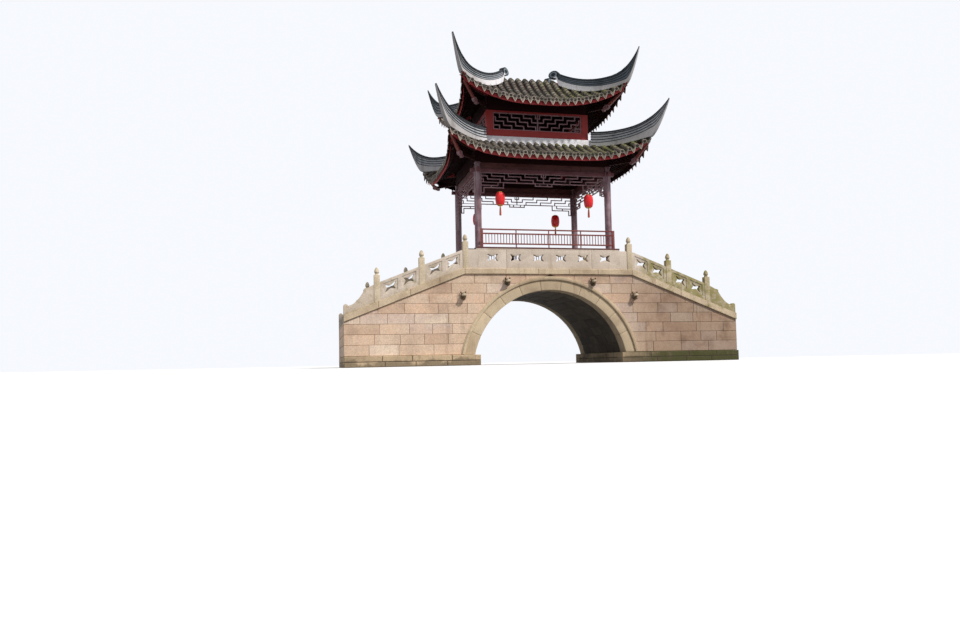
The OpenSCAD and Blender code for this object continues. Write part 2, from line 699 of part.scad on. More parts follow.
// A beam under each hip: its shoulders follow the roof's underside and its inner end stands
// against the corner of the beams below, which is at (x, top)
module corner_beams() {
    w = 55;
    play = 22;
    seat = 90;
    tip_h = 105;
    module beam(R, x, top) {
        span = R[2] - R[4];
        q = sqrt(0.5);
        v0 = (R[2] - x - slack) / span;
        function crest(v) = let (e = max(0, v - w * q / span), y = R[3] - v * span - w * q)
            climb(e, R) + lift(y / mix(R[3], R[5], e), e, R) - roof_t - play;
        root_h = crest(v0) - top + seat;
        function cut(v) = let (h = mix(tip_h, root_h, pow(v / v0, 2)))
            [for (p = [[-w, 0], [w, 0], [w, h], [-w, h]])
                [R[2] - v * span + p[0] * q, -R[3] + v * span + p[0] * q, crest(v) - p[1]]];
        loft([for (f = [0.25, 0.4, 0.6, 0.8, 1]) cut(v0 * f)], "capped");
    }
    color([0.52, 0.13, 0.11]) four_corners() {
        beam(LOW, col_x + plate_w / 2, climb(low_plate_v, LOW) - roof_t);
        beam(TOP, up_x - beam_in, climb(top_plate_v, TOP) - roof_t);
    }
}

// Upper storey

module plaster_band() {
    color([0.86, 0.84, 0.80]) translate([0, 0, band_z]) linear_extrude(band_h) difference() {
        square([2 * (up_x + band_out), 2 * (up_y + band_out)], center = true);
        square([2 * up_x, 2 * up_y], center = true);
    }
}

// The corner posts stand on the tie beams' tops
module upper_frame() {
    foot = plate_z + 200;
    module ring(z, h) {
        translate([0, 0, z]) linear_extrude(h) difference() {
            square([2 * up_x, 2 * up_y], center = true);
            square([2 * (up_x - frame_t), 2 * (up_y - frame_t)], center = true);
        }
    }
    color([0.52, 0.15, 0.12]) {
        for (sx = [-1, 1], sy = [-1, 1])
            translate([sx * (up_x - up_post / 2) - up_post / 2, sy * (up_y - up_post / 2) - up_post / 2, foot])
                cube([up_post, up_post, frame_z + frame_h - foot]);
        ring(band_z - roof_t, band_h + roof_t + frame_rail);
        ring(frame_z + frame_h - frame_head, frame_head);
    }
}

// A flat bar that follows square turns
module strip(points) {
    last = len(points) - 1;
    function across(i) = let (d = points[i + 1] - points[i]) [-d[1], d[0]] / norm(d);
    function side(i) = i == 0 ? across(0) : i == last ? across(last - 1) : across(i - 1) + across(i);
    polygon(concat([for (i = [0:last]) points[i] - side(i) * bar / 2],
                   [for (i = [last:-1:0]) points[i] + side(i) * bar / 2]));
}

// Stepped bars over a field: each climbs one row and runs a few columns by turns, from the
// bottom edge to the top, and the left half mirrors the right about an upright bar
module fret(w, h, rows, run) {
    columns = round(w / 2 / fret_pitch);
    pitch = w / 2 / columns;
    both_ends() intersection() {
        translate([bar / 4, 0]) square([w / 2 - bar / 4, h]);
        for (a = [0.5 - run * rows + run:run + 1:columns])
            strip([for (k = [0:rows - 1]) each [[(a + run * k) * pitch, h * k / rows],
                                                [(a + run * k) * pitch, h * (k + 1) / rows]]]);
    }
    translate([-bar / 2, 0]) square([bar, h]);
}

module lattice_panel(w, h) {
    upright(-lattice_t / 2, lattice_t / 2) {
        difference() {
            translate([-w / 2, 0]) square([w, h]);
            translate([-w / 2 + bar, bar]) square([w - 2 * bar, h - 2 * bar]);
        }
        intersection() {
            translate([-w / 2, 0]) square([w, h]);
            translate([0, bar / 2]) fret(w - bar, h - bar, 4, 2);
        }
    }
}

module upper_lattices() {
    h = frame_h - frame_rail - frame_head - 2 * slack;
    z = frame_z + frame_rail + slack;
    color([0.55, 0.38, 0.38]) for (s = [-1, 1]) {
        translate([0, s * (up_y - frame_t / 2), z]) lattice_panel(2 * (up_x - up_post - slack), h);
        translate([s * (up_x - frame_t / 2), 0, z]) rotate(90) lattice_panel(2 * (up_y - up_post - slack), h);
    }
}

module upper_beams() {
    top = climb(top_plate_v, TOP) - roof_t - slack;
    foot = frame_z + frame_h;
    w = 100;
    color([0.27, 0.09, 0.09]) translate([0, 0, foot]) linear_extrude(top - foot) difference() {
        square([2 * (up_x - beam_in), 2 * (up_y - beam_in)], center = true);
        square([2 * (up_x - beam_in - w), 2 * (up_y - beam_in - w)], center = true);
    }
}

// Valances: a frame of stepped bars that drops lower at its middle and beside the columns,
// where its ends hang lowest
module valance(w) {
    foot = valance_end * 0.16;
    side = w * 0.18;
    mid = w * 0.07;
    root = bar / 4;
    shelf = (valance_h + valance_side) / 2;
    module outline(d) {
        left = [[-w / 2 + d, -d], [-w / 2 + d, -valance_end + d], [-w / 2 + foot - d, -valance_end + d],
                [-w / 2 + foot - d, -valance_side + d], [-w / 2 + side - d, -valance_side + d],
                [-w / 2 + side - d, -valance_h + d], [-mid + d, -valance_h + d], [-mid + d, -valance_mid + d]];
        polygon(concat(left, [for (i = [len(left) - 1:-1:0]) [-left[i][0], left[i][1]]]));
    }
    upright(-lattice_t / 2, lattice_t / 2) {
        difference() { outline(0); outline(bar); }
        translate([root - w / 2, root - valance_h]) square([w - 2 * root, bar - 2 * root]);
        translate([0, bar / 2 - valance_h]) fret(w - bar, valance_h - bar, 3, 3);
        both_ends() {
            translate([w / 2 - side * 0.75 - bar / 2, -shelf]) square([bar, shelf - valance_h + bar / 2]);
            translate([w / 2 - side * 0.75, -shelf - bar / 2]) square([side * 0.75 - root, bar]);
            translate([w / 2 - side * 0.45 - bar / 2, root - valance_side]) square([bar, valance_side - shelf]);
            translate([mid * 0.4, root - valance_mid]) square([bar, valance_mid - valance_h]);
        }
    }
}
module valance_front() {
    color([0.56, 0.42, 0.44]) translate([0, -col_y, lintel_z]) valance(2 * col_x - col_d - 2 * slack);
}
module valance_back() { to_back() valance_front(); }
module valance_right() {
    color([0.56, 0.42, 0.44]) translate([col_x, 0, lintel_z]) rotate(90)
        valance(2 * col_y - col_d - 2 * slack);
}
module valance_left() { mirror([1, 0, 0]) valance_right(); }

// Lanterns on wires, each with an eye round a pin in the lintel's face

pin_d = 10;
pin_l = 60;
hook_z = lintel_z + lintel_h / 2;
hang_y = col_y + lintel_w / 2 + 40;

module lantern_hooks() {
    color([0.25, 0.23, 0.22]) four_corners() translate([lantern_x, -hang_y + 40, hook_z]) rotate([90, 0, 0]) {
        cylinder(d = pin_d, h = pin_l);
        translate([0, 0, pin_l]) cylinder(d = pin_d * 2, h = 4);
    }
}

module lantern() {
    play = 3;
    eye_r = pin_d / 2 + play + wire_d / 2;
    cap_h = 28;
    top = -lantern_drop;
    low = top - lantern_h;
    color([0.80, 0.08, 0.08]) translate([0, 0, hook_z - play + slack]) {
        rotate([90, 0, 0]) rotate_extrude() translate([eye_r, 0]) circle(d = wire_d, $fn = 16);
        translate([0, 0, top + cap_h - 1]) cylinder(d = wire_d, h = -top - cap_h - eye_r + 1, $fn = 16);
        rotate_extrude() polygon(concat(
            [[0, top + cap_h], [lantern_d * 0.27, top + cap_h], [lantern_d * 0.27, top]],
            [for (a = [60:-12:-60]) [lantern_d * (0.5 - 0.20 * (1 - cos(a)) / 0.5),
                top - lantern_h / 2 + lantern_h / 2 * sin(a) / sin(60)]],
            [[lantern_d * 0.27, low - cap_h], [lantern_d * 0.06, low - cap_h],
             [lantern_d * 0.06, low - tassel_l * 0.27], [lantern_d * 0.12, low - tassel_l * 0.38],
             [lantern_d * 0.15, low - tassel_l], [0, low - tassel_l]]));
    }
}
module lantern_front_right() { translate([lantern_x, -hang_y, 0]) lantern(); }
module lantern_front_left() { translate([-lantern_x, -hang_y, 0]) lantern(); }
module lantern_back_right() { translate([lantern_x, hang_y, 0]) lantern(); }
module lantern_back_left() { translate([-lantern_x, hang_y, 0]) lantern(); }

abutment_left();
abutment_right();
arch_barrel();
arch_ring_front();
arch_ring_back();
hood_moulds();
footings();
kerbs();
steps_left();
steps_right();
parapet_front_centre();
parapet_front_left();
parapet_front_right();
parapet_back_centre();
parapet_back_left();
parapet_back_right();
newel_posts();
scroll_stones();
spout_heads();
pavilion_floor();
seat_copings();
seat_boards();
railing_front();
railing_back();
column_bases();
columns();
lintels();
column_heads();
eaves_beams();
tie_beams();
valance_front();
valance_back();
valance_left();
valance_right();
lower_roof();
lower_ridges();
eaves_boards();
corner_beams();
plaster_band();
upper_frame();
upper_lattices();
upper_beams();
upper_roof();
upper_ridges();
lantern_hooks();
lantern_front_left();
lantern_front_right();
lantern_back_left();
lantern_back_right();
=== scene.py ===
"""Looks of a garden moon bridge: dressed stone, painted timber, tiled roofs and red lanterns."""

import json
import logging
import math
import random
from collections.abc import Callable, Sequence
from dataclasses import dataclass, field
from enum import Enum

import bmesh
import bpy
import numpy as np
from mathutils import Matrix, Vector

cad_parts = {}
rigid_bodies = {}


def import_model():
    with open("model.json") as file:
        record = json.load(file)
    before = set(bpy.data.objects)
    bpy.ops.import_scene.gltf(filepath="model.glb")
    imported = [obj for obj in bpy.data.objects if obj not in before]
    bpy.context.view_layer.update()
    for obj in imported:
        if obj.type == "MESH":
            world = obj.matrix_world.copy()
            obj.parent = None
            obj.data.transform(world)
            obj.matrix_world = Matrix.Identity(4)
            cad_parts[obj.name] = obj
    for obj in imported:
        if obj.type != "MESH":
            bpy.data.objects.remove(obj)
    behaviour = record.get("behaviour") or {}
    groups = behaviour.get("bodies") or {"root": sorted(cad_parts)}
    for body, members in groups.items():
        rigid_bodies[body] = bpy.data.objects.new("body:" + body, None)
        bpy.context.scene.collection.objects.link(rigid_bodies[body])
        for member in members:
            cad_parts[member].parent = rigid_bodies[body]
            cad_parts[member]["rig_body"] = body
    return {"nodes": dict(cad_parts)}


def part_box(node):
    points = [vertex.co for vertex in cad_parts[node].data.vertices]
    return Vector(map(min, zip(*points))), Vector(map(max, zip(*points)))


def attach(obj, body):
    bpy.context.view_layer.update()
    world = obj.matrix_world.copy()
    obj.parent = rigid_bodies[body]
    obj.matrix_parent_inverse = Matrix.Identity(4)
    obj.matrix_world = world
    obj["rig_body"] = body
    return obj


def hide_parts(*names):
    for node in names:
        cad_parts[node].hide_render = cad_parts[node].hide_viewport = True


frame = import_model()
LOG = logging.getLogger("moon_bridge")

Point = tuple[float, float, float]
Flat = tuple[float, float]
Colour = tuple[float, float, float, float]
Place = Callable[[float, float, float], Point]
Socket = bpy.types.NodeSocket

CORNERS = ((-1, -1), (-1, 1), (1, -1), (1, 1))


def srgb(red: int, green: int, blue: int) -> Colour:
    """Turns a colour written as three numbers up to 255 into the renderer's linear one.

    Args:
        red: Red share, 0 to 255.
        green: Green share, 0 to 255.
        blue: Blue share, 0 to 255.

    Returns:
        The linear colour, opaque.
    """
    def linear(share: int) -> float:
        """Takes one share out of its display curve."""
        value = share / 255
        return value / 12.92 if value <= 0.04045 else ((value + 0.055) / 1.055) ** 2.4

    return (linear(red), linear(green), linear(blue), 1.0)


def mix(a: float, b: float, t: float) -> float:
    """Goes from a to b as t goes from 0 to 1."""
    return a + (b - a) * t


def cuts(low: float, high: float, lengths: Flat, dice: random.Random) -> list[float]:
    """Parts a stretch into lengths chosen at random, with none left too short.

    Args:
        low: Where the stretch starts.
        high: Where it ends.
        lengths: Shortest and longest length of a part.
        dice: Source of the random lengths.

    Returns:
        The places of the joints, with both ends.
    """
    shortest, longest = lengths
    least_left = shortest * 0.6
    places = [low]
    while high - places[-1] > longest:
        most = min(longest, high - places[-1] - least_left)
        places.append(places[-1] + dice.uniform(shortest, most))
    return [*places, high]


def oblong(x0: float, y0: float, x1: float, y1: float) -> list[Flat]:
    """Returns the corners of an oblong, counter-clockwise."""
    return [(x0, y0), (x1, y0), (x1, y1), (x0, y1)]


def circle(count: int) -> list[Flat]:
    """Returns points round a circle of radius 1."""
    return [(math.cos(a), math.sin(a)) for a in np.linspace(0, 2 * math.pi, count + 1)[:-1]]


def mirrored(outline: Sequence[Flat], side: int) -> list[Flat]:
    """Returns an outline for the right half (1) or the left (-1), counter-clockwise in both."""
    moved = [(side * x, z) for x, z in outline]
    return moved if side > 0 else moved[::-1]


def outward(face: int, plane: float) -> Place:
    """Returns how a stone is placed with its face in a plane that looks to the front (-1) or back (1)."""
    return lambda x, z, depth: (x, face * (plane - depth), z)


def inset(outline: Sequence[Flat], by: float) -> list[Flat]:
    """Draws a counter-clockwise outline in by an even margin.

    Args:
        outline: Corners of the outline.
        by: Width of the margin.

    Returns:
        As many corners, moved inwards.
    """
    sharpest = 0.35
    moved = []
    count = len(outline)
    for i, (x, z) in enumerate(outline):
        before, after = outline[i - 1], outline[(i + 1) % count]
        a = Vector((x - before[0], z - before[1])).normalized()
        b = Vector((after[0] - x, after[1] - z)).normalized()
        normal_a, normal_b = Vector((-a.y, a.x)), Vector((-b.y, b.x))
        reach = by / max(sharpest, 1 + normal_a.dot(normal_b))
        shift = (normal_a + normal_b) * reach
        moved.append((x + shift.x, z + shift.y))
    return moved


class Graph:
    """Builds the node tree of one material in a few plain calls."""

    def __init__(self, name: str) -> None:
        """Starts a material.

        Args:
            name: Name of the material.
        """
        self.material = bpy.data.materials.new(name)
        self.material.use_nodes = True
        self.tree = self.material.node_tree
        self.shader = self.tree.nodes["Principled BSDF"]
        self.coords = self.tree.nodes.new("ShaderNodeTexCoord").outputs["Object"]
        self.relief: Socket | None = None

    def node(self, kind: str, inputs: dict | None = None, **settings: object) -> bpy.types.Node:
        """Adds one node.

        Args:
            kind: Blender's name of the node type.
            inputs: What goes into its sockets, by socket name or number.
            **settings: Properties of the node.

        Returns:
            The node.
        """
        made = self.tree.nodes.new(kind)
        for key, value in settings.items():
            setattr(made, key, value)
        for key, value in (inputs or {}).items():
            self.feed(made.inputs[key], value)
        return made

    def feed(self, socket: Socket, value: object) -> None:
        """Links another socket to a socket, or sets its value.

        Args:
            socket: The input.
            value: A socket, or a plain value.
        """
        if isinstance(value, Socket):
            self.tree.links.new(value, socket)
        else:
            socket.default_value = value

    def noise(self, scale: float, detail: float = 5.0, rough: float = 0.55,
              stretch: Point = (1, 1, 1), shift: float = 0.0) -> Socket:
        """Adds cloudy noise in metres.

        Args:
            scale: Blotches for each metre.
            detail: Number of finer layers.
            rough: Strength of the finer layers.
            stretch: Scale along each axis, below 1 for long streaks.
            shift: Moves the pattern, so that two noises differ.

        Returns:
            The noise's value.
        """
        place = self.node("ShaderNodeMapping", {"Vector": self.coords, "Scale": stretch,
                                                "Location": (shift, shift * 0.7, -shift)})
        made = self.node("ShaderNodeTexNoise", {"Vector": place.outputs[0], "Scale": scale,
                                                "Detail": detail, "Roughness": rough})
        return made.outputs[0]

    def cells(self, scale: float) -> Socket:
        """Adds a cell pattern's distance, for chips and pits."""
        made = self.node("ShaderNodeTexVoronoi", {"Vector": self.coords, "Scale": scale})
        return made.outputs["Distance"]

    def ramp(self, value: Socket, palette: Sequence[Colour]) -> Socket:
        """Picks a colour from a palette that is spread evenly over 0 to 1.

        Args:
            value: What picks the colour.
            palette: The colours, two or more.

        Returns:
            The colour.
        """
        made = self.node("ShaderNodeValToRGB", {"Fac": value})
        elements = made.color_ramp.elements
        while len(elements) < len(palette):
            elements.new(1.0)
        for i, (element, colour) in enumerate(zip(elements, palette)):
            element.position = i / (len(palette) - 1)
            element.color = colour
        return made.outputs["Color"]

    def blend(self, share: object, a: object, b: object, how: str = "MIX") -> Socket:
        """Blends two colours.

        Args:
            share: Share of the second colour, a number or a socket.
            a: First colour.
            b: Second colour.
            how: Blend type.

        Returns:
            The blended colour.
        """
        made = self.node("ShaderNodeMix", data_type="RGBA", blend_type=how)
        self.feed(made.inputs["Factor"], share)
        self.feed(made.inputs["A"], a)
        self.feed(made.inputs["B"], b)
        return made.outputs["Result"]

    def calc(self, how: str, a: object, b: object = 0.0) -> Socket:
        """Works out a sum, product or the like of two values."""
        return self.node("ShaderNodeMath", {0: a, 1: b}, operation=how).outputs[0]

    def span(self, value: object, low: float, high: float,
             to_low: float = 0.0, to_high: float = 1.0) -> Socket:
        """Maps a value's range softly onto another, and holds it there.

        Args:
            value: The value.
            low: Where its range starts.
            high: Where it ends.
            to_low: What the start turns into.
            to_high: What the end turns into.

        Returns:
            The new value.
        """
        return self.node("ShaderNodeMapRange",
                         {"Value": value, "From Min": low, "From Max": high,
                          "To Min": to_low, "To Max": to_high},
                         interpolation_type="SMOOTHSTEP").outputs[0]

    def tint(self) -> Socket:
        """Returns the tint that the mesh holds for each stone or tile."""
        return self.node("ShaderNodeAttribute", attribute_name="tint").outputs["Fac"]

    def facing_up(self) -> Socket:
        """Returns how far the surface faces the sky."""
        normal = self.node("ShaderNodeNewGeometry").outputs["Normal"]
        return self.node("ShaderNodeSeparateXYZ", {0: normal}).outputs["Z"]

    def place(self, axis: str) -> Socket:
        """Returns the surface point's coordinate along one axis, in metres."""
        return self.node("ShaderNodeSeparateXYZ", {0: self.coords}).outputs[axis]

    def from_middle(self) -> Socket:
        """Returns how far the surface point is from the bridge's middle, along it."""
        return self.calc("ABSOLUTE", self.place("X"))

    def bump(self, height: Socket, distance: float, strength: float = 1.0) -> None:
        """Lays relief over what was laid before.

        Args:
            height: The relief's height, 0 to 1.
            distance: Depth of the relief in metres.
            strength: Strength of the relief.
        """
        made = self.node("ShaderNodeBump", {"Height": height, "Distance": distance, "Strength": strength})
        if self.relief is not None:
            self.feed(made.inputs["Normal"], self.relief)
        self.relief = made.outputs["Normal"]
        self.feed(self.shader.inputs["Normal"], self.relief)

    def finish(self, colour: object, rough: object, **constants: float) -> None:
        """Sets the shader.

        Args:
            colour: Base colour, or a socket.
            rough: Roughness, or a socket.
            **constants: Other shader sockets by name, with _ for a space.
        """
        self.feed(self.shader.inputs["Base Color"], colour)
        self.feed(self.shader.inputs["Roughness"], rough)
        for name, value in constants.items():
            self.shader.inputs[name.replace("_", " ")].default_value = value


@dataclass(frozen=True)
class Finish:
    """What every finish has: a name, and a way to make its material once."""

    name: str

    def material(self) -> bpy.types.Material:
        """Finds the finish's material, or makes it at its first use.

        Returns:
            The material.
        """
        made = bpy.data.materials.get(self.name)
        if made is None:
            graph = Graph(self.name)
            self.paint(graph)
            made = graph.material
        return made

    def paint(self, graph: Graph) -> None:
        """Builds the node tree; each kind of finish has its own."""
        raise NotImplementedError


@dataclass(frozen=True)
class StoneFinish(Finish):
    """Dressed stone that varies from block to block, with stains and moss, and painted shade that can darken
    it towards the right.
    """

    palette: tuple[Colour, ...]
    stain: Colour
    moss: Colour
    moss_share: float
    moss_right: float = 0.0
    moss_ramps: float = 0.0
    stains: float = 0.35
    stain_and_shade_right: float = 0.0
    stain_high: float = 0.0
    stain_out: float = 0.0
    grain: float = 0.0022
    damp_top: float = 0.0

    def paint(self, graph: Graph) -> None:
        """Lays block tints, mottling, stains, painted shade towards the right, moss and grain.

        Args:
            graph: The material's node tree.
        """
        tint = graph.calc("ADD", graph.tint(), graph.span(graph.noise(2.2, 3), 0.3, 0.7, -0.10, 0.10))
        base = graph.ramp(tint, self.palette)
        speck = graph.span(graph.noise(34, 8, 0.7), 0.32, 0.68, 0.80, 1.16)
        grey = graph.node("ShaderNodeCombineXYZ", {0: speck, 1: speck, 2: speck}).outputs[0]
        base = graph.blend(1.0, base, grey, "MULTIPLY")
        cloud = graph.span(graph.noise(1.3, 7, 0.62, shift=3.1), 0.48, 0.72, 0.0, self.stains)
        streak = graph.span(graph.noise(3.0, 6, 0.6, (1.6, 1.6, 0.22), 7.7), 0.52, 0.75, 0.0, self.stains)
        stains_and_shade = graph.calc("MAXIMUM", cloud, streak)
        # Towards the right the stain colour is laid on more heavily: partly grime, partly painted shade.
        if self.stain_and_shade_right:
            stains_and_shade = graph.calc("ADD", stains_and_shade, graph.span(graph.place("X"), 0.6, 4.2, 0.0, self.stain_and_shade_right))
        if self.stain_high:
            stains_and_shade = graph.calc("ADD", stains_and_shade, graph.span(graph.place("Z"), 1.7, 2.6, 0.0, self.stain_high))
        if self.stain_out:
            stains_and_shade = graph.calc("ADD", stains_and_shade, graph.span(graph.from_middle(), 1.3, 2.5, 0.0, self.stain_out))
        base = graph.blend(stains_and_shade, base, self.stain)
        if self.damp_top:
            waver = graph.span(graph.noise(2.5), 0.3, 0.7, -0.12, 0.12)
            line = graph.calc("ADD", graph.place("Z"), waver)
            wet = graph.span(line, self.damp_top * 0.4, self.damp_top, 0.55, 0.0)
            base = graph.blend(wet, base, self.stain)
        up = graph.span(graph.facing_up(), 0.0, 0.9, 0.0, 0.28)
        right = graph.span(graph.place("X"), 0.8, 4.4, 0.0, self.moss_right)
        growth = graph.calc("ADD", graph.calc("ADD", up, right), self.moss_share - 0.5)
        if self.moss_ramps:
            ramps = graph.span(graph.from_middle(), 2.3, 3.3, 0.0, self.moss_ramps)
            growth = graph.calc("ADD", growth, ramps)
        patch = graph.calc("ADD", graph.noise(4.5, 9, 0.68, shift=1.9), growth)
        base = graph.blend(graph.span(patch, 0.42, 0.72, 0.0, 0.85), base, self.moss)
        graph.bump(graph.noise(70, 6, 0.7), self.grain)
        graph.bump(graph.cells(26), self.grain * 1.2, 0.5)
        graph.bump(graph.noise(7, 4, 0.6), 0.006, 0.6)
        rough = graph.span(graph.noise(20, 4), 0.3, 0.7, 0.78, 0.95)
        graph.finish(base, rough, Specular_IOR_Level=0.3)


@dataclass(frozen=True)
class PaintFinish(Finish):
    """Old oil paint on timber, faded and worn to pale streaks along the grain."""

    colour: Colour
    faded: Colour
    dark: Colour
    fade: float
    grain_axis: Point
    rough: float
    gloss: float = 0.4

    def paint(self, graph: Graph) -> None:
        """Lays the coat, its faded streaks, grime and fine cracks.

        Args:
            graph: The material's node tree.
        """
        streak = graph.noise(16, 7, 0.65, self.grain_axis)
        cloud = graph.noise(2.4, 5, 0.6, shift=5.0)
        worn = graph.calc("ADD", graph.calc("MULTIPLY", streak, 0.55), graph.calc("MULTIPLY", cloud, 0.45))
        base = graph.blend(graph.span(worn, 0.38, 0.66, 0.0, self.fade), self.colour, self.faded)
        grime = graph.span(graph.noise(5.5, 8, 0.7, shift=9.0), 0.52, 0.78, 0.0, 0.7)
        base = graph.blend(grime, base, self.dark)
        fine = graph.noise(90, 4, 0.7, self.grain_axis)
        graph.bump(fine, 0.0012, 0.8)
        graph.bump(streak, 0.002, 0.5)
        rough = graph.span(worn, 0.35, 0.7, self.rough, min(1.0, self.rough + 0.3))
        graph.finish(base, rough, Specular_IOR_Level=self.gloss)


@dataclass(frozen=True)
class TileFinish(Finish):
    """Fired grey roof tile with lichen, soot and patches of moss."""

    palette: tuple[Colour, ...]
    moss: Colour
    moss_share: float
    pale: Colour

    def paint(self, graph: Graph) -> None:
        """Lays each tile's own grey, pale lichen spots and moss on what faces the sky.

        Args:
            graph: The material's node tree.
        """
        base = graph.ramp(graph.tint(), self.palette)
        lichen = graph.span(graph.noise(22, 8, 0.75, shift=2.2), 0.56, 0.74, 0.0, 0.65)
        base = graph.blend(lichen, base, self.pale)
        soot = graph.span(graph.noise(6, 6, 0.7, shift=8.0), 0.5, 0.8, 0.0, 0.7)
        base = graph.blend(soot, base, srgb(28, 26, 24))
        up = graph.span(graph.facing_up(), 0.1, 0.95, -0.06, 0.08)
        right = graph.span(graph.place("X"), -1.8, 1.9, -0.14, 0.07)
        patch = graph.calc("ADD", graph.noise(4.2, 10, 0.78, shift=4.4), graph.calc("ADD", up, right))
        start, full = (edge - self.moss_share * 0.4 for edge in (0.66, 0.86))
        base = graph.blend(graph.span(patch, start, full, 0.0, 0.9), base, self.moss)
        graph.bump(graph.noise(60, 6, 0.7), 0.003)
        graph.bump(graph.noise(14, 5, 0.6, shift=1.0), 0.004, 0.6)
        graph.finish(base, graph.span(graph.noise(12), 0.3, 0.7, 0.7, 0.95), Specular_IOR_Level=0.3)


@dataclass(frozen=True)
class SilkFinish(Finish):
    """Oiled silk over a lantern's ribs, bright where it faces out and deep in its folds."""

    colour: Colour
    deep: Colour

    def paint(self, graph: Graph) -> None:
        """Lays the weave and its uneven dye.

        Args:
            graph: The material's node tree.
        """
        dye = graph.span(graph.noise(9, 5), 0.35, 0.7, 0.0, 0.4)
        base = graph.blend(dye, self.colour, self.deep)
        graph.bump(graph.noise(420, 2, 0.5, (1, 1, 0.25)), 0.0006, 0.6)
        graph.finish(base, graph.span(graph.noise(30), 0.3, 0.7, 0.26, 0.42), Sheen_Weight=0.05)


@dataclass(frozen=True)
class MetalFinish(Finish):
    """Gilt or iron fittings with dull spots."""

    colour: Colour
    dull: Colour
    metal: float

    def paint(self, graph: Graph) -> None:
        """Lays the metal and its dull spots.

        Args:
            graph: The material's node tree.
        """
        spots = graph.span(graph.noise(40, 6, 0.7), 0.45, 0.7, 0.0, 0.8)
        base = graph.blend(spots, self.colour, self.dull)
        graph.bump(graph.noise(160, 4), 0.0006, 0.7)
        graph.finish(base, graph.span(graph.noise(25), 0.3, 0.7, 0.35, 0.6), Metallic=self.metal)


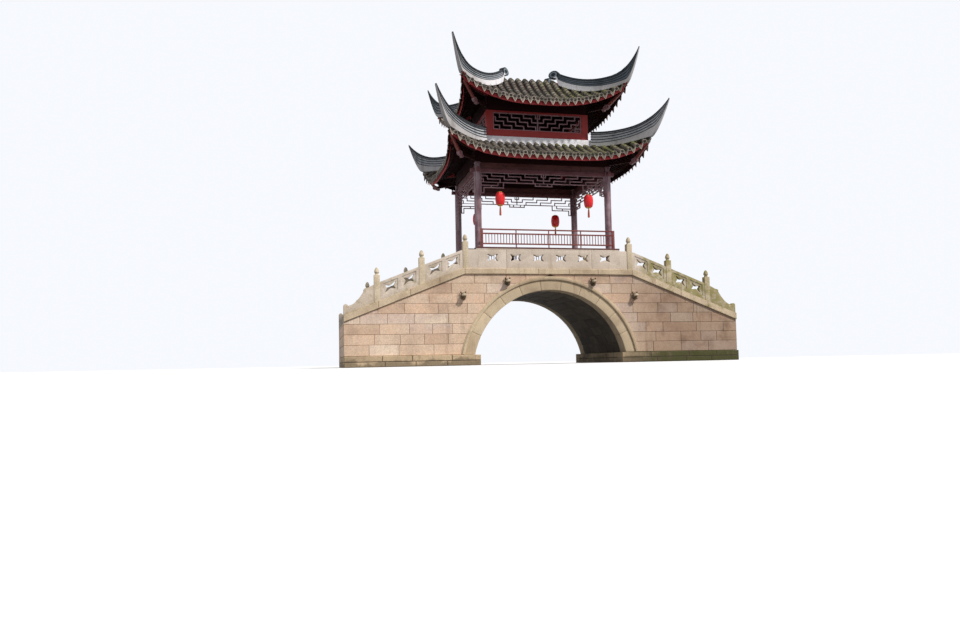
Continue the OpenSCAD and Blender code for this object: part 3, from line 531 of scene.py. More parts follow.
class Look(Enum):
    """The bridge's finishes."""

    # Its stains towards the right are partly grime and partly painted shade.
    ASHLAR = StoneFinish(
        "pink_ashlar",
        palette=(srgb(208, 176, 152), srgb(220, 192, 166), srgb(226, 200, 176), srgb(230, 196, 168),
                 srgb(218, 194, 178), srgb(236, 214, 192)),
        stain=srgb(118, 92, 74), moss=srgb(118, 110, 66), moss_share=0.08, moss_right=0.10, stains=0.30,
        stain_and_shade_right=0.62, stain_high=0.06)
    MORTAR = StoneFinish(
        "grey_mortar", palette=(srgb(70, 58, 50), srgb(92, 78, 68)), stain=srgb(48, 40, 34),
        moss=srgb(70, 66, 40), moss_share=0.1)
    # Its stains towards the right are partly grime and partly painted shade.
    RING = StoneFinish(
        "pale_arch_stone", palette=(srgb(202, 180, 150), srgb(216, 196, 166), srgb(208, 188, 158)),
        stain=srgb(122, 100, 78), moss=srgb(124, 118, 76), moss_share=0.06, stains=0.34, stain_and_shade_right=0.48,
        stain_high=0.38)
    # Its dark palette is partly the stone's own tone and partly the vault's shade painted in.
    BARREL = StoneFinish(
        "shaded_vault_stone", palette=(srgb(66, 59, 50), srgb(86, 77, 65), srgb(98, 88, 74)),
        stain=srgb(44, 39, 32), moss=srgb(64, 66, 42), moss_share=0.16, stains=0.6)
    CREAM = StoneFinish(
        "cream_parapet_stone", palette=(srgb(204, 188, 172), srgb(216, 202, 188), srgb(208, 192, 174)),
        stain=srgb(152, 130, 102), moss=srgb(136, 128, 66), moss_share=0.10, moss_right=0.20, moss_ramps=0.34,
        stains=0.38)
    KERB = StoneFinish(
        "stained_kerb_stone", palette=(srgb(200, 178, 150), srgb(214, 194, 166), srgb(206, 186, 158)),
        stain=srgb(124, 100, 74), moss=srgb(124, 116, 62), moss_share=0.12, moss_right=0.20, moss_ramps=0.16,
        stains=0.46)
    # Its stains towards the right are partly grime and partly painted shade.
    LEDGE = StoneFinish(
        "mossy_footing_stone", palette=(srgb(192, 168, 138), srgb(206, 182, 150), srgb(198, 174, 142)),
        stain=srgb(72, 64, 48), moss=srgb(70, 72, 36), moss_share=0.12, moss_right=0.60, stains=0.42,
        stain_and_shade_right=0.80, damp_top=0.20)
    PAVING = StoneFinish(
        "worn_step_stone", palette=(srgb(150, 140, 126), srgb(172, 162, 148), srgb(160, 148, 132)),
        stain=srgb(96, 88, 76), moss=srgb(92, 92, 52), moss_share=0.12, stains=0.45)
    POST = StoneFinish(
        "lichened_post_stone", palette=(srgb(206, 190, 164), srgb(220, 204, 178)), stain=srgb(146, 126, 92),
        moss=srgb(140, 130, 72), moss_share=0.22, moss_right=0.20, moss_ramps=0.14, stains=0.40)
    # The dark low end paints the heads' shade and the pale high end a painted highlight on the muzzle, over
    # some weathering.
    HEAD = StoneFinish(
        "weathered_lit_and_shaded_carved_stone", palette=(srgb(96, 82, 64), srgb(148, 130, 104), srgb(226, 210, 184)),
        stain=srgb(64, 52, 38), moss=srgb(80, 76, 44), moss_share=0.12, stains=0.4, grain=0.003)
    COLUMN = PaintFinish(
        "mauve_column_paint", srgb(112, 76, 84), srgb(188, 166, 174), srgb(34, 16, 18), 0.8,
        (1, 1, 0.06), 0.42)
    BEAM = PaintFinish(
        "maroon_beam_paint", srgb(92, 42, 46), srgb(140, 98, 106), srgb(30, 12, 12), 0.55,
        (0.08, 0.5, 1), 0.5)
    # Dark red paint with the shade under the eaves painted in: beams, rafters, roof deck and inner faces of
    # boards.
    SHADED_DARK_BEAM = PaintFinish(
        "shaded_rafter_paint", srgb(34, 11, 12), srgb(46, 20, 19), srgb(10, 4, 4), 0.5,
        (0.3, 0.3, 0.3), 0.7, 0.08)
    FRET = PaintFinish(
        "faded_lattice_paint", srgb(132, 92, 100), srgb(182, 152, 160), srgb(60, 32, 34), 0.7,
        (0.4, 0.4, 0.4), 0.55)
    RAIL = PaintFinish(
        "worn_rail_paint", srgb(112, 44, 38), srgb(150, 92, 86), srgb(40, 14, 12), 0.5,
        (0.08, 1, 1), 0.42)
    SEAT = PaintFinish(
        "dark_seat_paint", srgb(72, 30, 28), srgb(112, 70, 64), srgb(24, 10, 10), 0.5,
        (0.08, 1, 1), 0.4)
    RED = PaintFinish(
        "brick_red_paint", srgb(148, 38, 36), srgb(168, 66, 60), srgb(56, 14, 14), 0.4,
        (0.15, 0.6, 1), 0.5)
    FASCIA = PaintFinish(
        "eaves_red_paint", srgb(176, 50, 54), srgb(194, 92, 94), srgb(72, 18, 20), 0.45,
        (0.2, 0.2, 1), 0.5)
    COVER = TileFinish(
        "grey_cover_tile", palette=(srgb(80, 74, 68), srgb(110, 102, 94), srgb(138, 130, 118)),
        moss=srgb(122, 128, 54), moss_share=0.30, pale=srgb(172, 164, 150))
    # The same fired clay as the round tiles, darkened as the grooves' painted shade.
    PAN = TileFinish(
        "shaded_pan_tile", palette=(srgb(40, 37, 33), srgb(58, 54, 48)), moss=srgb(84, 88, 38),
        moss_share=0.34, pale=srgb(92, 88, 80))
    DRIP = TileFinish(
        "pale_drip_tile", palette=(srgb(118, 110, 100), srgb(184, 172, 160), srgb(150, 142, 130)),
        moss=srgb(104, 102, 54), moss_share=0.08, pale=srgb(206, 198, 188))
    RIDGE_TILE = TileFinish(
        "dark_ridge_tile", palette=(srgb(32, 36, 40), srgb(48, 54, 58)),
        moss=srgb(76, 80, 42), moss_share=0.06, pale=srgb(88, 94, 98))
    PLASTER = StoneFinish(
        "stained_lime_plaster", palette=(srgb(238, 236, 242), srgb(250, 248, 252)),
        stain=srgb(124, 118, 112), moss=srgb(110, 110, 70), moss_share=0.02, stains=0.3, stain_out=0.6,
        grain=0.001)
    # Its dark low end is partly soot and partly painted shade.
    RIDGE = StoneFinish(
        "sooty_and_shaded_ridge_plaster", palette=(srgb(88, 102, 110), srgb(142, 154, 166), srgb(232, 234, 240)),
        stain=srgb(64, 72, 78), moss=srgb(90, 92, 54), moss_share=0.05, stain_out=0.45, grain=0.002)
    SILK = SilkFinish("lantern_silk", srgb(246, 22, 32), srgb(176, 4, 12))
    TASSEL = SilkFinish("tassel_thread", srgb(214, 92, 40), srgb(150, 40, 20))
    GILT = MetalFinish("gilt_fitting", srgb(222, 160, 70), srgb(140, 84, 36), 0.7)
    IRON = MetalFinish("iron_wire", srgb(90, 88, 86), srgb(60, 44, 36), 0.8)


@dataclass
class Piece:
    """The faces of one piece, each with a tint and a finish, gathered before its mesh is made."""

    name: str
    looks: tuple[Look, ...]
    points: list[Point] = field(default_factory=list)
    faces: list[tuple[int, ...]] = field(default_factory=list)
    tints: list[float] = field(default_factory=list)
    kinds: list[int] = field(default_factory=list)

    def add(self, points: Sequence[Point], faces: Sequence[Sequence[int]], tint: float,
            kind: int = 0) -> None:
        """Adds a closed shape.

        Args:
            points: Its corners.
            faces: Its faces, as numbers of its corners.
            tint: Its own tint, 0 to 1.
            kind: Number of its finish in the piece's looks.
        """
        first = len(self.points)
        self.points.extend(points)
        self.faces.extend(tuple(first + i for i in f) for f in faces)
        self.tints.extend([tint] * len(faces))
        self.kinds.extend([kind] * len(faces))

    def loft(self, rings: Sequence[Sequence[Point]], tint: float = 0.5, kind: int = 0,
             joined: bool = False) -> None:
        """Skins a row of rings.

        Args:
            rings: Rings with the same number of points.
            tint: The shape's tint.
            kind: Number of its finish.
            joined: True where the last ring meets the first; the ends are capped otherwise.
        """
        count, rows = len(rings[0]), len(rings)
        faces: list[Sequence[int]] = []
        for k in range(rows if joined else rows - 1):
            here, there = k * count, ((k + 1) % rows) * count
            faces.extend((here + i, here + (i + 1) % count, there + (i + 1) % count, there + i)
                         for i in range(count))
        if not joined:
            faces.append(tuple(range(count - 1, -1, -1)))
            faces.append(tuple((rows - 1) * count + i for i in range(count)))
        self.add([p for ring in rings for p in ring], faces, tint, kind)

    def block(self, outline: Sequence[Flat], place: Place, depth: float, edge: float, tint: float,
              kind: int = 0, both: bool = False) -> None:
        """Adds a stone or board: an outline pushed back, with worn edges at its face.

        Args:
            outline: Counter-clockwise corners of its face.
            place: Puts a corner and its depth behind the face into the model.
            depth: Depth of the stone.
            edge: Width of the worn edge.
            tint: The stone's tint.
            kind: Number of its finish.
            both: True where the back shows too and is worn alike.
        """
        drawn = inset(outline, edge)
        levels = [(drawn, 0.0), (outline, edge)]
        levels += [(outline, depth - edge), (drawn, depth)] if both else [(outline, depth)]
        self.loft([[place(x, z, d) for x, z in line] for line, d in levels], tint, kind)

    def make(self, slot: str, stands_for: Sequence[str] = (), body: str = "root",
             smooth: float = 0.0) -> bpy.types.Object:
        """Makes the mesh, dresses it and lets it ride.

        Args:
            slot: The record's material slot.
            stands_for: Nodes of the model that the piece stands for.
            body: The body that it moves with.
            smooth: Largest angle in degrees across which it is shaded smooth.

        Returns:
            The object.
        """
        mesh = bpy.data.meshes.new(self.name)
        mesh.from_pydata(self.points, [], self.faces)
        tints = mesh.attributes.new("tint", "FLOAT", "FACE")
        tints.data.foreach_set("value", np.array(self.tints, np.float32))
        mesh.polygons.foreach_set("material_index", np.array(self.kinds, np.int32))
        work = bmesh.new()
        work.from_mesh(mesh)
        bmesh.ops.recalc_face_normals(work, faces=work.faces)
        work.to_mesh(mesh)
        work.free()
        return dress(mesh, self.name, self.looks, slot, stands_for, body, smooth)


def dress(mesh: bpy.types.Mesh, name: str, looks: Sequence[Look], slot: str, stands_for: Sequence[str],
          body: str, smooth: float) -> bpy.types.Object:
    """Turns a finished mesh into a piece of the model.

    Args:
        mesh: The mesh.
        name: Name of the piece.
        looks: Its finishes, by material index.
        slot: The record's material slot; not used.
        stands_for: Nodes of the model that it stands for.
        body: The body that it moves with.
        smooth: Largest angle in degrees across which it is shaded smooth.

    Returns:
        The object.
    """
    for look in looks:
        mesh.materials.append(look.value.material())
    if smooth:
        mesh.shade_smooth()
        mesh.set_sharp_from_angle(angle=math.radians(smooth))
    made = bpy.data.objects.new(name, mesh)
    bpy.context.scene.collection.objects.link(made)
    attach(made, body)
    if stands_for:
        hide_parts(*stands_for)
    LOG.info("%s: %d faces", name, len(mesh.polygons))
    return made


@dataclass
class WornNode:
    """A node of the model with its sharp edges worn round and its own finish."""

    node: str
    look: Look
    slot: str
    edge: float
    suffix: str
    seed: int = 1
    # A second finish, laid as painted shade on the faces that look inwards or down.
    inner: Look | None = None
    smooth: float = 40.0
    weld: float = 0.00002
    flat: float = 0.6
    sharp: float = 32.0

    def build(self) -> None:
        """Copies the node's mesh, joins its flat faces, wears its edges and tints each solid."""
        mesh = bpy.data.meshes.new(f"{self.node}_{self.suffix}")
        work = bmesh.new()
        work.from_mesh(frame["nodes"][self.node].data)
        bmesh.ops.remove_doubles(work, verts=work.verts, dist=self.weld)
        bmesh.ops.dissolve_limit(work, angle_limit=math.radians(self.flat), verts=work.verts,
                                 edges=work.edges)
        if self.edge:
            least = math.radians(self.sharp)
            worn = [e for e in work.edges if len(e.link_faces) == 2 and e.calc_face_angle(0.0) > least]
            bmesh.ops.bevel(work, geom=worn, offset=self.edge, segments=2, profile=0.6, affect="EDGES",
                            clamp_overlap=True)
        tint = work.faces.layers.float.new("tint")
        dice = random.Random(self.seed)
        for island in islands(work):
            value = dice.random()
            for face in island:
                face[tint] = value
        looks = (self.look,)
        if self.inner is not None:
            looks = (self.look, self.inner)
            self.paint_shade_inside(work)
        work.to_mesh(mesh)
        work.free()
        dress(mesh, mesh.name, looks, self.slot, (self.node,), body_of(self.node), self.smooth)

    @staticmethod
    def paint_shade_inside(work: bmesh.types.BMesh) -> None:
        """Gives the dark second finish, as painted shade, to the faces that look inwards or down.

        Args:
            work: The mesh that is worked on.
        """
        for face in work.faces:
            away = face.calc_center_median().xy
            if face.normal.z < -0.5 or face.normal.xy.dot(away.normalized()) < -0.2:
                face.material_index = 1


def islands(work: bmesh.types.BMesh) -> list[list[bmesh.types.BMFace]]:
    """Finds the parts of a mesh that hang together.

    Args:
        work: The mesh.

    Returns:
        The faces, one list for each part.
    """
    seen: set[bmesh.types.BMFace] = set()
    found = []
    for start in work.faces:
        if start in seen:
            continue
        seen.add(start)
        group, queue = [], [start]
        while queue:
            face = queue.pop()
            group.append(face)
            for edge in face.edges:
                for other in edge.link_faces:
                    if other not in seen:
                        seen.add(other)
                        queue.append(other)
        found.append(group)
    return found


def body_of(node: str) -> str:
    """Returns the body that a node of the model belongs to."""
    return frame["nodes"][node]["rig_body"]


@dataclass
class BridgeForm:
    """The stonework's lines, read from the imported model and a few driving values."""

    arch_drop: float = 0.206
    ring_t: float = 0.306
    ring_deep: float = 0.420
    hood_h: float = 0.112
    fall: float = 0.395
    step_rise: float = 0.127
    recess: float = 0.010
    kerb_ramp_t: float = 0.205

    def __post_init__(self) -> None:
        """Reads the levels and faces from the model's nodes."""
        low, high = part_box("abutment_right")
        self.face_y, self.half_len, self.deck_z, self.foot_h = high.y, high.x, high.z, low.z
        kerb_low, kerb_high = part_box("kerbs")
        self.kerb_face, self.kerb_top, self.end_z = kerb_high.y, kerb_high.z, kerb_low.z
        self.level_half = self.half_len - (self.deck_z - self.end_z) / self.fall
        self.arch_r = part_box("arch_barrel")[1].z + self.arch_drop - self.ring_t
        self.floor_x, self.walk_y, self.floor_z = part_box("pavilion_floor")[1]
        self.knee_x = self.level_half + (self.kerb_ramp_t - (self.kerb_top - self.deck_z)) / self.fall

    def under(self, x: float) -> float:
        """Returns the height of the masonry under the kerbs."""
        return self.deck_z - self.fall * max(0.0, abs(x) - self.level_half)

    def kerb(self, x: float) -> float:
        """Returns the height of the kerbs' top."""
        return min(self.kerb_top, self.under(x) + self.kerb_ramp_t)

    def ramp_x(self, z: float) -> float:
        """Returns where the masonry's top line stands at a height."""
        return self.half_len if z <= self.end_z else self.level_half + (self.deck_z - z) / self.fall

    def arch_x(self, radius: float, z: float) -> float:
        """Returns the half-width of the arch's circle at a height."""
        return math.sqrt(max(0.0, radius ** 2 - (z + self.arch_drop) ** 2))


@dataclass
class Abutments:
    """The spandrel masonry: coursed blocks with open joints over a core of mortar."""

    form: BridgeForm
    first_joint: float = 0.335
    course_h: float = 0.300
    joint: float = 0.0035
    edge: float = 0.009
    depth: float = 0.06
    sliver: float = 0.09
    block_l: Flat = (0.55, 1.15)
    end_block_l: Flat = (0.6, 1.1)

    def build(self) -> None:
        """Builds both abutments."""
        for side, name in ((1, "right"), (-1, "left")):
            dice = random.Random(20 + side)
            piece = Piece(f"abutment_{name}_masonry", (Look.ASHLAR, Look.MORTAR))
            self.core(piece, side)
            for face in (-1, 1):
                self.facing(piece, side, face, dice)
            self.end_wall(piece, side, dice)
            piece.make("ashlar", (f"abutment_{name}",))

    def core(self, piece: Piece, side: int) -> None:
        """Adds the mortar core, set back from every face that shows.

        Args:
            piece: The piece that takes it.
            side: 1 for the right half, -1 for the left.
        """
        form = self.form
        radius = form.arch_r + form.ring_t
        start = math.asin((form.foot_h + form.arch_drop) / radius)
        arc = [(radius * math.cos(a), radius * math.sin(a) - form.arch_drop)
               for a in np.linspace(math.pi / 2, start, 24)]
        end = form.half_len - form.recess
        outline = [*arc, (end, form.foot_h), (end, form.under(end)), (form.level_half, form.deck_z),
                   (0.0, form.deck_z)]
        back = form.face_y - form.recess
        piece.loft([[(side * x, y, z) for x, z in outline] for y in (-back, back)], kind=1)

    def courses(self) -> list[tuple[float, float]]:
        """Works out the courses, from the footing to the deck.

        Returns:
            The bottom and top of each course.
        """
        levels = [self.form.foot_h]
        while levels[-1] < self.form.deck_z:
            levels.append(min(self.form.deck_z, self.first_joint + self.course_h * len(levels)))
        return list(zip(levels, levels[1:]))

    def facing(self, piece: Piece, side: int, face: int, dice: random.Random) -> None:
        """Adds the blocks of one face, cut to the arch and to the ramp.

        Args:
            piece: The piece that takes the blocks.
            side: 1 for the right half, -1 for the left.
            face: -1 for the front, 1 for the back.
            dice: Source of the block lengths and tints.
        """
        form = self.form
        radius = form.arch_r + form.ring_t + form.hood_h * 0.4
        place = outward(face, form.face_y)
        for low, high in self.courses():
            start = min(form.arch_x(radius, z) for z in (low, high))
            places = cuts(start, form.ramp_x(low), self.block_l, dice)
            for a, b in zip(places, places[1:]):
                outline = self.trim(a, b, low, high, radius)
                tint = dice.random()
                if len(outline) > 2:
                    drawn = mirrored(inset(outline, self.joint), side)
                    piece.block(drawn, place, self.depth, self.edge, tint)

    def trim(self, a: float, b: float, low: float, high: float, radius: float) -> list[Flat]:
        """Cuts a block's outline to the arch's circle and to the ramp's line.

        Args:
            a: Its end towards the arch.
            b: Its end towards the ramp's foot.
            low: Its bottom.
            high: Its top.
            radius: Radius of the circle that it's cut to.

        Returns:
            The counter-clockwise outline, empty where nothing is left.
        """
        form = self.form
        crown = radius - form.arch_drop
        levels = {low, high}
        if a < form.arch_x(radius, low):
            levels.update(z for z in np.linspace(low, high, 6) if z < crown)
        levels.update(z for z in (form.under(a), form.under(b)) if low < z < high)
        rows = [(z, max(a, form.arch_x(radius, z)), min(b, form.ramp_x(z))) for z in sorted(levels)]
        rows = [row for row in rows if row[2] - row[1] > -1e-6]
        if len(rows) < 2 or max(right - left for _, left, right in rows) < self.sliver:
            return []
        lefts = [(left, z) for z, left, right in reversed(rows) if right - left > 1e-3]
        return [(right, z) for z, _, right in rows] + lefts

    def end_wall(self, piece: Piece, side: int, dice: random.Random) -> None:
        """Adds the blocks of the end face, under the last step.

        Args:
            piece: The piece that takes the blocks.
            side: 1 for the right end, -1 for the left.
            dice: Source of the block lengths and tints.
        """
        form = self.form
        lowest = 0.02

        def place(y: float, z: float, depth: float) -> Point:
            """Puts a corner and its depth on the end face."""
            return (side * (form.half_len - depth), y, z)

        reach = form.face_y - self.depth - self.joint
        for low, high in self.courses():
            top = min(high, form.end_z)
            if top - low < lowest:
                continue
            places = cuts(-reach, reach, self.end_block_l, dice)
            for a, b in zip(places, places[1:]):
                outline = inset(oblong(a, low, b, top), self.joint)
                piece.block(outline, place, self.depth, self.edge, dice.random())


@dataclass
class Vault:
    """The arch: face stones, hood mouldings and the stones of the barrel between them."""

    form: BridgeForm
    ring_stones: int = 11
    barrel_courses: int = 21
    hood_out: float = 0.060
    joint: float = 0.003
    edge: float = 0.010
    stone_l: Flat = (0.5, 0.95)
    stone_deep: float = 0.08

    def build(self) -> None:
        """Builds the barrel, the hood mouldings and the two rings."""
        self.barrel()
        self.hoods()
        for node in ("arch_ring_front", "arch_ring_back"):
            WornNode(node, Look.RING, "arch_stone", self.edge, "voussoirs", 5).build()

    def barrel(self) -> None:
        """Builds the vault's stones, in courses that run across the bridge."""
        form = self.form
        dice = random.Random(31)
        piece = Piece("arch_barrel_stones", (Look.BARREL, Look.MORTAR))
        start = math.asin((form.foot_h + form.arch_drop) / form.arch_r)
        reach = form.face_y - form.ring_deep
        angles = np.linspace(start, math.pi - start, self.barrel_courses + 1)

        def place(s: float, y: float, depth: float) -> Point:
            """Wraps a stone's flat outline round the arch."""
            radius, angle = form.arch_r + depth, s / form.arch_r
            return (radius * math.cos(angle), y, radius * math.sin(angle) - form.arch_drop)

        for a, b in zip(angles, angles[1:]):
            places = cuts(-reach, reach, self.stone_l, dice)
            for y0, y1 in zip(places, places[1:]):
                outline = inset(oblong(a * form.arch_r, y0, b * form.arch_r, y1), self.joint)
                piece.block(outline, place, self.stone_deep, self.edge, dice.random())
        core = oblong(-reach, form.recess, reach, form.ring_t)
        piece.loft([[place(a * form.arch_r, y, depth) for y, depth in core]
                    for a in np.linspace(start, math.pi - start, 49)], kind=1)
        piece.make("barrel_stone", ("arch_barrel",))

    def hoods(self) -> None:
        """Builds the hood mouldings, one length over each face stone."""
        form = self.form
        dice = random.Random(32)
        piece = Piece("hood_moulding_stones", (Look.RING,))
        r0 = form.arch_r + form.ring_t
        h, out, ease = form.hood_h, self.hood_out, form.hood_h / 5
        profile = [(0.0, 0.0), (0.0, out - ease), (ease * 0.3, out - ease * 0.3), (ease, out),
                   (h - 2 * ease, out), (h - 1.3 * ease, out - ease * 0.25), (h - ease, out - ease),
                   (h - ease * 0.8, out * 0.45), (h, out / 3), (h, 0.0)]
        start = math.asin((form.foot_h + form.arch_drop) / r0)
        pitch = (math.pi - 2 * start) / self.ring_stones
        gap = self.joint / 2 / r0
        for face in (-1, 1):
            for i in range(self.ring_stones):
                low, high = start + i * pitch + gap, start + (i + 1) * pitch - gap
                rings = [[((r0 + r) * math.cos(a), face * (form.face_y + y),
                           max(form.foot_h, (r0 + r) * math.sin(a) - form.arch_drop)) for r, y in profile]
                         for a in np.linspace(low, high, 9)]
                piece.loft(rings, dice.random())
        piece.make("arch_stone", ("hood_moulds",), smooth=30)


@dataclass
class Footings:
    """Two courses of long stones round each footing, over a core."""

    form: BridgeForm
    depth: float = 0.42
    joint: float = 0.004
    edge: float = 0.014
    split: float = 0.15
    back_off: float = 0.158
    long_l: Flat = (0.8, 1.35)
    short_l: Flat = (0.7, 1.2)

    def build(self) -> None:
        """Builds both footings in one piece."""
        form = self.form
        dice = random.Random(41)
        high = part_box("footings")[1]
        inner = form.arch_x(form.arch_r, form.foot_h) - self.back_off
        reach = high.y - self.depth
        core = oblong(inner + form.recess, form.recess - high.y, high.x - form.recess, high.y - form.recess)
        piece = Piece("footing_stones", (Look.LEDGE, Look.MORTAR))
        for side in (-1, 1):
            for z0, z1 in ((0.0, self.split), (self.split, high.z)):
                for face in (-1, 1):
                    self.row(piece, cuts(inner, high.x, self.long_l, dice), z0, z1, dice,
                             lambda x, z, d, f=face, s=side: (s * x, f * (high.y - d), z))
                self.row(piece, cuts(-reach, reach, self.short_l, dice), z0, z1, dice,
                         lambda y, z, d, s=side: (s * (inner + d), y, z))
                self.row(piece, cuts(-reach, reach, self.short_l, dice), z0, z1, dice,
                         lambda y, z, d, s=side: (s * (high.x - d), y, z))
            piece.loft([[(side * x, y, z) for x, y in core]
                        for z in (form.recess, high.z - form.recess)], kind=1)
        piece.make("footing_stone", ("footings",))

    def row(self, piece: Piece, places: Sequence[float], z0: float, z1: float, dice: random.Random,
            place: Place) -> None:
        """Adds one row of stones.

        Args:
            piece: The piece that takes them.
            places: The places of the joints along the row.
            z0: Bottom of the row.
            z1: Top of the row.
            dice: Source of the tints.
            place: Puts a corner and its depth into the model.
        """
        for a, b in zip(places, places[1:]):
            outline = inset(oblong(a, z0, b, z1), self.joint)
            outline = [(x, max(z, z0) if z0 == 0.0 and z < z0 + 2 * self.joint else z) for x, z in outline]
            piece.block(outline, place, self.depth, self.edge, dice.random(), both=True)


@dataclass
class Kerbs:
    """The kerb stones along both faces, jointed as the photograph shows them on the level stretch."""

    form: BridgeForm
    level_joints: tuple[float, ...] = (-1.41, -0.385, 0.60, 1.53)
    ramp_joints: tuple[float, ...] = (3.42, 4.30, 5.22)
    joint: float = 0.003
    edge: float = 0.010
    knee_gap: float = 0.02

    def build(self) -> None:
        """Builds all the kerb stones in one piece."""
        form = self.form
        dice = random.Random(51)
        knees = (-form.knee_x, -form.level_half, form.level_half, form.knee_x)
        ramps = (*self.ramp_joints, form.half_len, form.level_half + self.knee_gap)
        ends = sorted([*self.level_joints, *ramps, *(-x for x in ramps)])
        shortest = 0.03
        piece = Piece("kerb_stones", (Look.KERB,))
        width = form.kerb_face - form.walk_y
        for face in (-1, 1):
            place = outward(face, form.kerb_face)
            for a, b in zip(ends, ends[1:]):
                xs = [a, *(x for x in knees if a + shortest < x < b - shortest), b]
                outline = [(x, form.under(x)) for x in xs] + [(x, form.kerb(x)) for x in reversed(xs)]
                piece.block(inset(outline, self.joint), place, width, self.edge, dice.random(), both=True)
        piece.make("pale_stone", ("kerbs",))


@dataclass
class Walks:
    """The steps of both flights and the slabs of the pavilion floor."""

    form: BridgeForm
    joint: float = 0.003
    edge: float = 0.008
    lap: float = 0.02
    slab_t: float = 0.06
    foot_deep: float = 0.3
    step_l: Flat = (0.8, 1.3)
    slab_l: Flat = (0.7, 1.1)

    def build(self) -> None:
        """Builds the two flights and the floor."""
        for side, name in ((1, "right"), (-1, "left")):
            self.flight(side, name)
        self.floor()

    def flight(self, side: int, name: str) -> None:
        """Builds one flight: three or four stones to a step, over a core.

        Args:
            side: 1 for the right flight, -1 for the left.
            name: The flight's name.
        """
        form = self.form
        dice = random.Random(60 + side)
        drop = form.floor_z - form.kerb(form.half_len)
        count = round(drop / form.step_rise)
        tread = (form.half_len - form.floor_x) / count
        rise = drop / count
        piece = Piece(f"flight_{name}_stones", (Look.PAVING, Look.MORTAR))
        line: list[Flat] = []
        for i in range(1, count + 1):
            top = form.floor_z - i * rise
            x0, x1 = form.floor_x + (i - 1) * tread, form.floor_x + i * tread
            low = form.end_z if i == count else top - rise
            outline = mirrored(oblong(x0 - self.lap, low, x1, top), side)
            ys = cuts(-form.walk_y, form.walk_y, self.step_l, dice)
            for a, b in zip(ys, ys[1:]):
                near, far = a + self.joint, b - self.joint
                piece.block(outline, lambda x, z, d, n=near: (x, n + d, z), far - near, self.edge,
                            dice.random(), both=True)
            line += [(x0, top - form.recess), (x1 - form.recess, top - form.recess)]
        base = form.end_z - self.foot_deep
        line += [(form.half_len - form.recess, base), (form.floor_x, base)]
        piece.loft([[(side * x, y, z) for x, z in line]
                    for y in (form.recess - form.walk_y, form.walk_y - form.recess)], kind=1)
        piece.make("step_stone", (f"steps_{name}",))

    def floor(self) -> None:
        """Builds the floor: thick edge stones at both ends and slabs in rows between them."""
        form = self.form
        dice = random.Random(67)
        piece = Piece("pavilion_floor_slabs", (Look.PAVING, Look.MORTAR))
        rows = np.linspace(-form.floor_x, form.floor_x, 9)

        def place(x: float, y: float, depth: float) -> Point:
            """Puts a corner and its depth in the floor."""
            return (x, y, form.floor_z - depth)

        for number, (a, b) in enumerate(zip(rows, rows[1:])):
            thick = form.step_rise if number in (0, len(rows) - 2) else self.slab_t
            ys = cuts(-form.walk_y, form.walk_y, self.slab_l, dice)
            for y0, y1 in zip(ys, ys[1:]):
                piece.block(inset(oblong(a, y0, b, y1), self.joint), place, thick, self.edge, dice.random())
        back, top = form.recess, form.floor_z - self.slab_t / 2
        core = oblong(back - form.floor_x, back - form.walk_y, form.floor_x - back, form.walk_y - back)
        piece.loft([[(x, y, z) for x, y in core] for z in (form.deck_z - 0.05, top)], kind=1)
        piece.make("step_stone", ("pavilion_floor",))


@dataclass
class Parapets:
    """The pierced slabs, posts, end scrolls and the coping under the seats."""

    slab_edge: float = 0.006
    panel_edge: float = 0.005
    post_edge: float = 0.008

    def build(self) -> None:
        """Dresses every parapet node."""
        ramps = ("parapet_front_left", "parapet_front_right", "parapet_back_left", "parapet_back_right")
        for node in ("parapet_front_centre", "parapet_back_centre"):
            WornNode(node, Look.CREAM, "pale_stone", self.slab_edge, "slabs", 3).build()
        for seed, node in enumerate(ramps, 11):
            WornNode(node, Look.CREAM, "pale_stone", self.panel_edge, "slabs", seed).build()
        WornNode("newel_posts", Look.POST, "pale_stone", self.post_edge, "shafts", 8).build()
        WornNode("scroll_stones", Look.CREAM, "pale_stone", self.post_edge, "carved", 9).build()
        WornNode("seat_copings", Look.CREAM, "pale_stone", self.slab_edge, "slabs", 10).build()


